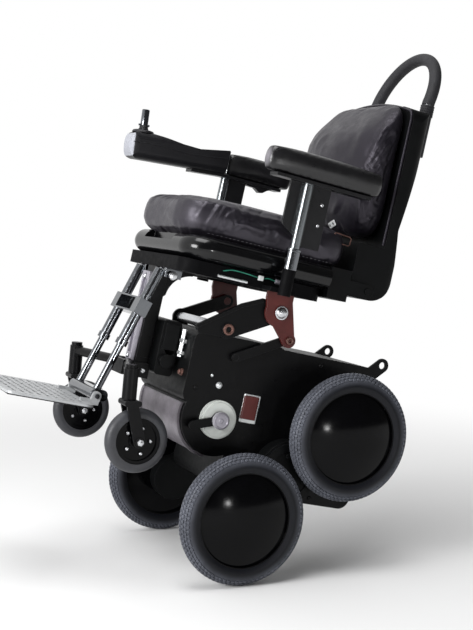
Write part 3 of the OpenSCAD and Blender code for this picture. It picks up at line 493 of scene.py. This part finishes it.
def read(mesh, key):
    values = np.zeros(len(mesh.vertices) * 3)
    mesh.vertices.foreach_get(key, values)
    return values.reshape(-1, 3)


def coords(mesh):
    return read(mesh, "co")


def normals(mesh):
    return read(mesh, "normal")


def put(mesh, co):
    mesh.vertices.foreach_set("co", co.astype(np.float32).ravel())
    mesh.update()


def moved(co, matrix):
    matrix = np.array(matrix)
    return co @ matrix[:3, :3].T + matrix[:3, 3]


def in_chair(co):
    """Row frame points as millimetres in the chair's frame."""
    return moved(co, CHAIR_MM.inverted())


def ease(value, low, high):
    t = np.clip((value - low) / (high - low), 0, 1)
    return t * t * (3 - 2 * t)


def fuller_seat(co):
    """The cushion's front reaches further over the tray, and its front corners are rounder in plan."""
    half_w, front, rear = np.abs(co[:, 0]).max(), co[:, 1].min(), co[:, 1].max()
    middle, half_l = (front + rear) / 2, (rear - front) / 2
    u, v = np.abs(co[:, 0]) / half_w, np.abs(co[:, 1] - middle) / half_l

    def reach(n):
        return (u ** n + v ** n + 1e-12) ** (1 / n)

    scale = np.where(co[:, 1] < middle, reach(SEAT_CORNER) / reach(ROUND_CORNER), 1.0)
    y = middle + (co[:, 1] - middle) * scale
    return np.stack([co[:, 0] * scale, y - SEAT_REACH * ease(-y, -middle, -front), co[:, 2]], axis=1)


def fuller_back(co):
    """The backrest's cushion stands further forward at the shoulders and reaches the piping."""
    bulge = ease(-co[:, 2], -955, -850) * ease(co[:, 2], 600, 690)
    deep = np.minimum(co[:, 1] - BACK_EDGE, 0)
    return np.stack([co[:, 0] * BACK_WIDER, co[:, 1] + BACK_FULLER * bulge * deep, co[:, 2]], axis=1)


def simulated(obj):
    """Places of a piece's points after the cloth simulation under pressure."""
    settings = obj.modifiers.new("cloth", "CLOTH").settings
    settings.use_pressure = True
    settings.uniform_pressure_force = PRESSURE
    settings.quality = 6
    settings.tension_stiffness = settings.compression_stiffness = 20
    settings.shear_stiffness = 12
    settings.effector_weights.gravity = 0
    for f in range(1, SWELL_FRAMES + 1):
        scene.frame_set(f)
    swelled = coords(evaluated(obj))
    scene.frame_set(1)
    obj.modifiers.clear()
    return swelled


def swell(node, name, material, body, voxel=5.0, inset=4.5, cap=9.0, fuller=None):
    """A padded piece from a CAD soft solid: drawn in, made fuller, remeshed, swelled and subdivided."""
    mesh = nodes[node].data.copy()
    bm = bmesh.new()
    bm.from_mesh(mesh)
    weld(bm, 1e-5)
    bm.to_mesh(mesh)
    bm.free()
    put(mesh, coords(mesh) - normals(mesh) * inset * MM)
    if fuller:
        put(mesh, moved(fuller(in_chair(coords(mesh))), CHAIR_MM))
    obj = bpy.data.objects.new(name, mesh)
    scene.collection.objects.link(obj)
    remesh = obj.modifiers.new("remesh", "REMESH")
    remesh.mode = "VOXEL"
    remesh.voxel_size = voxel * MM
    obj.data = evaluated(obj)
    obj.modifiers.clear()
    start = coords(obj.data)
    step = simulated(obj) - start
    far = np.linalg.norm(step, axis=1, keepdims=True)
    put(obj.data, start + step * np.minimum(1, cap * MM / np.maximum(far, 1e-9)))
    finer = obj.modifiers.new("finer", "SUBSURF")
    finer.levels = finer.render_levels = 1
    obj.data = evaluated(obj)
    obj.modifiers.clear()
    obj.data.materials.clear()
    obj.data.materials.append(M[material])
    smooth(obj.data)
    attach(obj, body)
    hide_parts(node)
    return obj


# Folds as (start, end, width, depth), with places as (along the sight line's level, up)
SIGHT = (0.41, 0.91)
BACK_FOLDS = [
    ((112, 775), (150, 905), 6.0, 2.4), ((124, 790), (162, 895), 5.0, 2.6),
    ((134, 780), (172, 888), 5.0, 3.0), ((146, 772), (178, 880), 4.5, 2.6),
    ((156, 766), (182, 860), 4.5, 2.2), ((80, 790), (110, 935), 11.0, 2.2),
    ((25, 800), (58, 940), 12.0, 2.0), ((-30, 810), (4, 925), 12.0, 1.8),
    ((116, 722), (130, 640), 6.0, 3.0), ((75, 715), (67, 655), 6.0, 2.2),
    ((138, 640), (166, 674), 4.5, 2.2), ((150, 632), (158, 678), 4.5, 2.0),
    ((134, 660), (172, 654), 4.5, 1.8)]
SEAT_FOLDS = [
    ((-232, 540), (-206, 604), 6.0, 2.2), ((-214, 536), (-196, 600), 5.0, 2.0),
    ((-198, 536), (-184, 592), 5.0, 1.6), ((-262, 552), (-238, 610), 7.0, 1.8),
    ((-180, 560), (-60, 566), 9.0, 1.4), ((-60, 548), (60, 558), 9.0, 1.2)]


def crease(obj, folds):
    """Folds in a soft piece: a ridge that fades at both ends, with a groove beside it."""
    rest = coords(obj.data)
    chair = in_chair(rest)
    co = np.stack([chair[:, 0] * SIGHT[0] + chair[:, 1] * SIGHT[1], chair[:, 2]], axis=1)
    total = np.zeros(len(co))
    for a, b, width, depth in folds:
        a, b = np.array(a, float), np.array(b, float)
        length = np.linalg.norm(b - a)
        d = (b - a) / length
        along = (co - a) @ d
        off = (co - a) @ np.array([-d[1], d[0]]) + 0.08 * width * np.sin(along / (width * 1.7))
        ends = np.sin(math.pi * np.clip(along / length, 0, 1)) ** 0.7
        ridge = np.exp(-(off / width) ** 2)
        groove = np.exp(-((off - 1.9 * width) / width) ** 2)
        total += depth * ends * (ridge - 0.6 * groove)
    put(obj.data, rest + normals(obj.data) * total[:, None] * MM)


seat = swell("seat_cushion", "seat_pad", "seat_cloth", "seat", fuller=fuller_seat)
back = swell("back_cushion", "back_pad", "back_cloth", "backrest", fuller=fuller_back)
for side, vinyl in (("left", "left_vinyl_painted_lit_end"), ("right", "arm_vinyl")):
    swell(side + "_arm_pad", side + "_pad", vinyl, side + "_armrest", voxel=4, inset=3, cap=4)
crease(back, BACK_FOLDS)
crease(seat, SEAT_FOLDS)

# Drive tyres: small tread blocks in seven rows over a smooth sidewall; angles are round the section
TYRE_LOW, TYRE_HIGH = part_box("left_front_tyre")
TYRE_R = (TYRE_HIGH.z - TYRE_LOW.z) / 2 / MM
HALF_W = (TYRE_HIGH.x - TYRE_LOW.x) / 2 / MM
TREAD = 3.0
TREAD_EDGE = 64
TREAD_ROWS = ((-TREAD_EDGE, -50), (-46, -33), (-29, -13), (-9, 9), (13, 29), (33, 46), (50, TREAD_EDGE))
BLOCK_SLOPE = 1.6
SIDEWALL = (128, 120, 112, 104, 96, 88, 80, 74, 69)
SQUARENESS = 0.95
PITCHES, STEPS = 84, 6
RIM_R, DOME_H = 116.5, 24.0


def tyre_depth(angle, row, phase):
    """How far the surface lies below the blocks' tops; a row of -1 lies between the blocks."""
    away = abs(angle)
    if away <= TREAD_EDGE:
        return TREAD if row < 0 or phase in (STEPS - 1, 0) else 0.0
    if away < 76:
        return min(TREAD, (away - TREAD_EDGE) * 0.5)
    return 2.4 if away < 100 else 2.8


def tyre_rows():
    stations = [(-a, -1) for a in SIDEWALL]
    for i, (a, b) in enumerate(TREAD_ROWS):
        stations += [(a, -1), (a + BLOCK_SLOPE, i), (b - BLOCK_SLOPE, i), (b, -1)]
    stations += [(a, -1) for a in reversed(SIDEWALL)]
    count = PITCHES * STEPS
    rows = []
    for angle, row in stations:
        s, c = math.sin(math.radians(angle)), math.cos(math.radians(angle))
        x = HALF_W * math.copysign(abs(s) ** SQUARENESS, s)
        r = TYRE_R - HALF_W + HALF_W * math.copysign(abs(c) ** SQUARENESS, c)
        stagger = STEPS // 2 if row % 2 else 0
        points = []
        for k in range(count):
            low = tyre_depth(angle, row, (k + stagger) % STEPS)
            inner = x - (low * s if abs(angle) <= 90 else 0.0)
            a = math.tau * k / count
            reach = r - low * max(c, 0)
            points.append(Vector((inner, reach * math.cos(a), reach * math.sin(a))) * MM)
        rows.append(points)
    return rows + rows[:1]


def make_tyres():
    mesh = Build().grid(tyre_rows()).mesh("tread", "tyre_rubber")
    for name in DRIVE_WHEELS:
        obj = bpy.data.objects.new(name + "_tread", mesh)
        scene.collection.objects.link(obj)
        obj.matrix_world = Matrix.Translation(pivot_of(name + "_spin"))
        attach(obj, name + "_wheel")
        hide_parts(name + "_tyre")


def make_domes():
    """A smooth gloss skin over each wheel's domed disc."""
    rise, reach = 0.35, 0.45
    ball = (RIM_R ** 2 + DOME_H ** 2) / (2 * DOME_H)
    profile = [(RIM_R + reach, -DOME_H - 3.0)]
    for k in range(20, 0, -1):
        a = math.asin(RIM_R / ball) * k / 20
        profile.append(((ball + reach) * math.sin(a), rise - ball * (1 - math.cos(a))))
    profile.append((0.3, rise))
    for name in DRIVE_WHEELS:
        low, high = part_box(name + "_wheel")
        side = 1 if low.x + high.x > 0 else -1
        axle = pivot_of(name + "_spin")
        apex = Vector((high.x if side > 0 else low.x, axle.y, axle.z))
        Build().turned(apex, (side, 0, 0), profile, 96).done(name + "_dome", "gloss_black", name + "_wheel")


make_tyres()
make_domes()


# Places on the soft pieces
def surface(obj):
    return BVHTree.FromPolygons([obj.matrix_world @ v.co for v in obj.data.vertices],
                                [tuple(p.vertices) for p in obj.data.polygons])


def cast(tree, start, towards, lift):
    """The point where a line from start meets a surface, raised by lift millimetres."""
    d = (towards - start).normalized()
    hit = tree.ray_cast(start, d)[0]
    return (hit if hit is not None else towards) - d * lift * MM


def lying_on(tree, start, towards, lift):
    """A frame on a surface, with its Y axis into the surface and its Z axis up, raised by lift."""
    d = (towards - start).normalized()
    hit, normal = tree.ray_cast(start, d)[:2]
    inward = -normal if normal.dot(d) < 0 else normal
    side = inward.cross(UP).normalized()
    turn = Matrix((side, inward, side.cross(inward))).transposed().to_4x4()
    return Matrix.Translation(hit - inward * lift * MM) @ turn


# Fittings: profiles are (radius, height) pairs, and places are in the chair's frame
LIFT_BUSH = [(7, 0), (14, 0), (14, 3), (12, 4.5), (9, 4.5), (7, 3), (7, 0)]
HANGER_BOLT = [(17, 0), (17, 1.6), (14, 1.8), (13.4, 4), (10.5, 7), (6, 8.4), (1, 8.8)]
LINK_BUSH = [(4.5, 0), (9.5, 0), (9.5, 3.4), (8, 4.6), (5.4, 4.6), (4.5, 3.4), (4.5, 0)]
MOTOR_HUB = [(14.5, 0), (22.4, 0), (22.4, 4.8), (20.5, 6.2), (16, 6.6), (15.2, 5.8), (6, 5.8), (5, 6.6),
             (1, 6.6)]
POST_SLEEVE = [(16.2, 0), (17, 0.8), (17, 44), (18.2, 45), (18.2, 50), (16.4, 51.4), (12.5, 51.4),
               (12.5, 47), (16.2, 45), (16.2, 0)]
KNOB = [(5, 0), (5, 5), (10, 6), (11, 9), (10, 14), (6, 15)]
CONNECTOR = [(4.2, 0), (5.6, 1), (5.6, 22), (6.2, 23), (6.2, 30), (5, 32)]
NOSE_BOSS = [(9, 0), (9, 3), (6.5, 4), (6.5, 9), (4, 11), (1, 11.4)]
VALVE = [(8, 0), (8, 4), (5, 5), (5, 9), (3, 10.5), (1, 10.8)]
STICK_SLEEVE = [(9.6, 26), (10.2, 26.6), (10.2, 66), (9.4, 68), (7, 68.8), (1, 69)]
STICK_PIN = [(1.4, -2), (1.4, 1.5), (2.6, 2), (3.4, 4), (2.6, 6), (0.6, 6.8)]
STICK_SKIRT = [(10.0, 15), (13.2, 15), (13.6, 16.2), (12.2, 18), (11.4, 20), (12.2, 21.4), (11, 23),
               (10.4, 26), (9.8, 26.2)]
POD_BOSS = [(19.5, 6), (29.5, 6), (29, 9.5), (26.5, 12.4), (22, 13.6), (20.2, 12.8), (19.5, 10), (19.5, 6)]
PLATE_SCREWS = ((-120, -50), (-20, -62), (110, -62), (206, -40), (210, 90), (206, 210), (190, 268),
                (60, 272), (-262, 160))
CASTER_FACE, CASTER_NUT, BOLT_CIRCLE = 11.0, 30.0, 31.0
BOX_PARTS = (
    ("_box_frame", "bright_alu", (153.5, -108, 133), (4, 45, 70), 1.2),
    ("_maroon_box", "maroon_paint", (156, -110, 135), (8, 40, 60), 2.2),
    ("_box_tip", "white_plastic", (155.5, -108, 103), (7, 40, 10), 1.5),
)


def caster_fasteners(side):
    axle = pivot_of(side + "_caster_spin")
    seats = []
    nuts = Build()
    for face in (1, -1):
        for k in range(5):
            a = math.radians(72 * k - 3)
            place = Vector((face * CASTER_FACE, BOLT_CIRCLE * math.cos(a), BOLT_CIRCLE * math.sin(a)))
            seats.append((axle + place * MM, (face, 0, 0)))
        nut(nuts, axle + Vector((face * CASTER_NUT * MM, 0, 0)), (face, 0, 0), 8.2, 5)
    bolts(side + "_caster_bolts", "bare_steel", side + "_caster_wheel", seats, 4.4, 3.2)
    nuts.done(side + "_caster_nuts", "bare_steel", side + "_caster")


def side_fasteners(s, side):
    out = Vector((s, 0, 0))
    Build().turned(at(s * ARM_FACE, *LIFT_BASE), out, LIFT_BUSH, 32, cap=False).done(
        side + "_lift_bush", "copper", "lift_arms")
    Build().turned(at(s * HANGER_FACE, *LIFT_SEAT), out, HANGER_BOLT, 32).done(
        side + "_hanger_bolt", "bare_steel", "seat")
    Build().turned(at(s * HANGER_FACE, *LINK_SEAT), out, LINK_BUSH, 28, cap=False).done(
        side + "_link_bush", "copper", "seat")
    Build().turned(at(s * CAP_FACE, *MOTOR), out, MOTOR_HUB, 40).done(
        side + "_motor_hub", "grey_metal", "power_base")
    screws = [(at(s * PLATE_FACE, y, z), out) for y, z in PLATE_SCREWS]
    bolts(side + "_plate_screws", "black_metal", "power_base", screws, 5.5, 3.2)
    caster_fasteners(side)
    Build().turned(at(s * POST_X, POST_Y, 483), UP, POST_SLEEVE, 36, cap=False).done(
        side + "_post_sleeve", "dark_chrome", "seat")
    screws = [(at(s * 259, -90, z), out) for z in (600, 650)]
    bolts(side + "_post_screws", "bare_steel", side + "_armrest", screws, 4.5, 3)


def front_fasteners():
    seats = [(at(s * 44, y, 168), (s, 0, 0)) for s, _ in SIDES for y in (-406, -362)]
    bolts("block_bolts", "bare_steel", "seat", seats, 6.5, 5)
    bolts("strut_bolts", "bare_steel", "seat", [(at(0, -392, z), -BACK) for z in (196, 396)], 6, 4.5)
    knobs = Build()
    for s in (-1, 1):
        knobs.turned(at(s * 94, -362, 410), (s, 0, 0), KNOB, 18)
    knobs.done("footrest_knobs", "bare_steel", "seat")
    backing = Build().slab(frame_at(0, -608, 68.2), (314, 204, 3), 1.2)
    backing.done("footplate_backing", "rubber_boot", "footplate")


def seat_fittings():
    """The rod, connectors and clipped wires under the near side of the tray."""
    Build().tube([at(203.5, -290, 433), at(203.5, -212, 433)], 3.4, 14).done("tray_rod", "bright_alu", "seat")
    Build().slab(frame_at(205, -180, 450), (9, 13, 12), 1.2).done("white_connector", "white_plastic", "seat")
    Build().turned(at(206.5, -142, 450.5), BACK, CONNECTOR, 18).done("grey_connector", "grey_metal", "seat")
    wires = Build()
    for shift in (0.0, 3.2):
        wires.tube(smooth_path([at(201 + shift, -278, 447), at(204 + shift, -258, 453),
                                at(205 + shift, -236, 453.5), at(206 + shift, -210, 452),
                                at(205, -188, 450)], 6), 1.3, 8)
    wires.tube(smooth_path([at(205, -174, 450), at(208, -160, 453), at(206.5, -142, 450.5)], 6), 1.3, 8)
    wires.done("clipped_wires", "green_wire", "seat")


def belt_parts(back_tree, seat_tree):
    """The lap belt's buckle plate on the backrest and its loop on the near side of the seat."""
    on_pad = lying_on(back_tree, at(52, -60, 634), at(52, 200, 634), 3.0)
    on_pad = on_pad @ Matrix.Rotation(math.radians(-18), 4, "Y")
    Build().slab(on_pad, (36, 4, 16), 1.2).done("belt_plate", "white_plastic", "backrest")
    holes = Build()
    for x in (-10, 10):
        centre = on_pad @ Vector((x * MM, -1.9 * MM, 0))
        holes.turned(centre, on_pad.to_3x3() @ Vector((0, -1, 0)), [(3.2, 0), (3.2, 0.5), (2.2, 0.5)], 16)
    holes.done("belt_plate_holes", "rubber_boot", "backrest")
    loop_at = cast(seat_tree, at(300, 22, 590), at(0, 22, 590), 1.5)
    loop = Matrix.Translation(loop_at) @ TURN @ Matrix.Rotation(math.radians(-4), 4, "X")
    corners = [(-22, 3), (-24, 9), (-20, 11), (4, 11), (20, 11), (24, 8), (24, -8), (20, -11), (-20, -11),
               (-24, -8), (-24, 9), (-20, 11)]
    Build().tube([loop @ Vector((0, y * MM, z * MM)) for y, z in corners], 1.6, 8).done(
        "belt_loop", "copper", "seat")


def back_outline(inset):
    """The shell's front edge, drawn in: straight sides, round corners and a shallow arc on top."""
    arc_r = (BACK_HALF ** 2 + BACK_CROWN ** 2) / (2 * BACK_CROWN) - inset
    arc_z = BACK_TOP - inset - arc_r
    corner = Vector((BACK_HALF - BACK_CORNER, BACK_TOP - BACK_CROWN + 14 - BACK_CORNER))
    r = BACK_CORNER - inset
    line = [(BACK_HALF - inset, z) for z in np.linspace(600, corner.y, 12)]
    for a in np.linspace(0.05, math.pi / 2, 24):
        x, z = corner.x + r * math.cos(a), corner.y + r * math.sin(a)
        if math.hypot(x, z - arc_z) > arc_r:
            break
        line.append((x, z))
    line += [(x, arc_z + math.sqrt(arc_r ** 2 - x * x)) for x in np.linspace(line[-1][0] - 6, 0, 14)]
    return line + [(-x, z) for x, z in reversed(line[:-1])]


def back_piping():
    Build().tube([at(x, BACK_EDGE, z) for x, z in back_outline(5)], 3.4, 10).done(
        "back_piping", "back_cloth", "backrest")


def arm_trim():
    """The seam along the pod and the bright strip where the pod meets the arm pad."""
    line = ((-424, 742), (-380, 744), (-320, 741), (-260, 736), (-200, 737), (-152, 741))
    seam = smooth_path([on_pod(-218.6, y, z) for y, z in line], 5)
    Build().tube(seam, 0.9, 8).done("pod_seam", "pod_plastic", "right_armrest")
    strip = frame_at(-POST_X, POD_JOINT + 0.5, POD_LOW + POD_RAISE + 32)
    Build().slab(strip, (68, 1.6, 60), 0.6).done("pod_joint", "bright_alu", "right_armrest")


def joystick_parts():
    """The chrome sleeve, cross pin and rubber skirt of the stick, and the raised boss round it on the pod."""
    pivot = pivot_of("joystick_fore_aft")
    stick = Build().turned(pivot, POD_UP, STICK_SLEEVE, 32)
    for s in (1, -1):
        stick.turned(pivot + (POD_UP * 27 + POD_BACK * 9 * s) * MM, POD_BACK * s, STICK_PIN, 16)
    stick.done("stick_sleeve", "dark_chrome", "joystick")
    Build().turned(pivot, POD_UP, STICK_SKIRT, 32).done("stick_skirt", "rubber_boot", "joystick")
    Build().turned(pivot, POD_UP, POD_BOSS, 40, cap=False).done("pod_boss", "pod_plastic", "right_armrest")


def base_fittings(s, side):
    """The box on the side plate, the rods and boss on the front face, and the valve."""
    for name, material, (x, y, z), size, round_by in BOX_PARTS:
        Build().slab(frame_at(s * x, y, z), size, round_by).done(side + name, material, "power_base")
    rods = Build()
    for x in (90, 100):
        rods.tube([at(s * x, NOSE - 7, 290), at(s * x, NOSE - 7, 222)], 3.6, 16)
    for z in (262, 232):
        rods.slab(frame_at(s * 95, NOSE - 5, z), (24, 12, 9), 1.5)
    rods.done(side + "_nose_rods", "bright_alu", "power_base")
    Build().turned(at(s * 118, NOSE, 188), -BACK, NOSE_BOSS, 20).done(
        side + "_nose_boss", "copper", "power_base")
    valve = Build().turned(at(s * PLATE_FACE, -203, 176), (s, 0, 0), VALVE, 20)
    bolt(valve, at(s * PLATE_FACE, -226, 196), (s, 0, 0), 4, 3)
    valve.done(side + "_plate_valve", "bright_alu", "power_base")


def stitches(build, points, length=5.0, gap=6.0, r=0.6):
    """Short raised threads along a path."""
    steps = [0.0]
    for a, b in zip(points, points[1:]):
        steps.append(steps[-1] + (b - a).length)

    def point(s):
        for i in range(len(points) - 1):
            if s <= steps[i + 1]:
                return points[i].lerp(points[i + 1], (s - steps[i]) / max(steps[i + 1] - steps[i], 1e-9))
        return points[-1]

    s = 0.0
    while s + length * MM < steps[-1]:
        build.tube([point(s), point(s + length * MM * 0.5), point(s + length * MM)], r, 6)
        s += (length + gap) * MM


def seat_stitches(seat_tree):
    thread = Build()
    for x in (300, -300):
        stitches(thread, [cast(seat_tree, at(x, y, 526), at(0, y, 526), 0.4) for y in range(-326, 30, 12)])
    thread.done("seat_stitches", "grey_metal", "seat")


for sign, side in SIDES:
    side_fasteners(sign, side)
front_fasteners()
seat_fittings()
on_seat = surface(seat)
belt_parts(surface(back), on_seat)
back_piping()
arm_trim()
joystick_parts()
for sign, side in SIDES:
    base_fittings(sign, side)
seat_stitches(on_seat)

# Floor, world, lamps and camera; the studio's white wall lies ahead and to the right of the chair
FLOOR_HALF = 30.0
WALL = Vector((-0.8, -0.5, 0.3)).normalized()
AIM = Vector((0, 0, 0.65))
LAMPS = (
    ("key", (1.45, -3.3, 1.5), 1.4, 120),
    ("box", (3.3, 0.1, 0.45), 0.2, 9),
    ("top", (0.6, -0.6, 3.4), 1.6, 45),
)
YAW, PITCH, ROLL = (math.radians(a) for a in (23.974, 4.972, 2.538))
EYE = Vector((2.8682, -1.3344, 0.6411))
LENS, SENSOR = 70.306, 36


def backdrop_rays(tree):
    """1 for the rays that show the backdrop: from the camera, or by way of metal and glass."""
    rays = add(tree, "LightPath").outputs
    seen = calc(tree, "MAXIMUM", rays["Is Camera Ray"], rays["Is Glossy Ray"])
    return calc(tree, "MAXIMUM", seen, rays["Is Transmission Ray"])


def make_floor():
    """A plain pale floor, which keeps the shadow and fades into the backdrop."""
    mesh = bpy.data.meshes.new("floor")
    corners = ((-1, -1), (1, -1), (1, 1), (-1, 1))
    mesh.from_pydata([(x * FLOOR_HALF, y * FLOOR_HALF, 0) for x, y in corners], [], [(0, 1, 2, 3)])
    floor = bpy.data.objects.new("floor", mesh)
    scene.collection.objects.link(floor)
    floor.location.z = cad_box[0].z - 0.0005
    mat = bpy.data.materials.new("floor")
    mat.use_nodes = True
    tree = mat.node_tree
    shade = tree.nodes["Principled BSDF"]
    for key, value in (("Base Color", (0.86, 0.86, 0.86, 1)), ("Roughness", 0.9),
                       ("Specular IOR Level", 0.1)):
        shade.inputs[key].default_value = value
    glow = add(tree, "Emission", Color=WHITE, Strength=1.0)
    away = faded(tree, calc(tree, "LENGTH", place_of(tree), vector=True), 0.9, 3.0, smooth=True)
    mix_shaders(tree, calc(tree, "MULTIPLY", away, backdrop_rays(tree)), shade.outputs["BSDF"],
                glow.outputs["Emission"], "Material Output")
    mesh.materials.append(mat)


def make_world():
    """A dim studio with a white wall, and a backdrop that is white to the camera."""
    world = bpy.data.worlds.new("studio")
    world.use_nodes = True
    scene.world = world
    tree = world.node_tree
    towards = add(tree, "TexCoord").outputs["Generated"]
    facing = calc(tree, "DOT_PRODUCT", towards, WALL, vector=True)
    level = faded(tree, facing, -0.25, 0.6, 0.1, 1.0, smooth=True)
    studio = tree.nodes["Background"]
    feed(tree, studio.inputs["Color"], WHITE)
    feed(tree, studio.inputs["Strength"], level)
    shown = calc(tree, "MAXIMUM", level, add(tree, "LightPath").outputs["Is Camera Ray"])
    white = add(tree, "Background", Color=WHITE, Strength=shown)
    mix_shaders(tree, backdrop_rays(tree), studio.outputs["Background"], white.outputs["Background"],
                "World Output")


def make_lamps():
    for name, place, size, power in LAMPS:
        lamp = bpy.data.lights.new(name, "AREA")
        lamp.size = size
        lamp.energy = power
        obj = bpy.data.objects.new(name, lamp)
        scene.collection.objects.link(obj)
        obj.location = place
        obj.rotation_euler = (AIM - Vector(place)).to_track_quat("-Z", "Y").to_euler()


def make_camera():
    """The camera fitted to the photo."""
    ahead = Vector((-math.cos(YAW) * math.cos(PITCH), math.sin(YAW) * math.cos(PITCH), -math.sin(PITCH)))
    across = ahead.cross(Vector((0, 0, 1))).normalized()
    above = across.cross(ahead)
    right = across * math.cos(ROLL) + above * math.sin(ROLL)
    top = above * math.cos(ROLL) - across * math.sin(ROLL)
    camera = bpy.data.objects.new("camera", bpy.data.cameras.new("camera"))
    scene.collection.objects.link(camera)
    camera.data.sensor_width = SENSOR
    camera.data.lens = LENS
    turn = Matrix((right, top, -ahead)).transposed().to_4x4()
    camera.matrix_world = Matrix.Translation(AXLE + EYE) @ turn
    scene.camera = camera


make_floor()
make_world()
make_lamps()
make_camera()

bpy.context.view_layer.update()
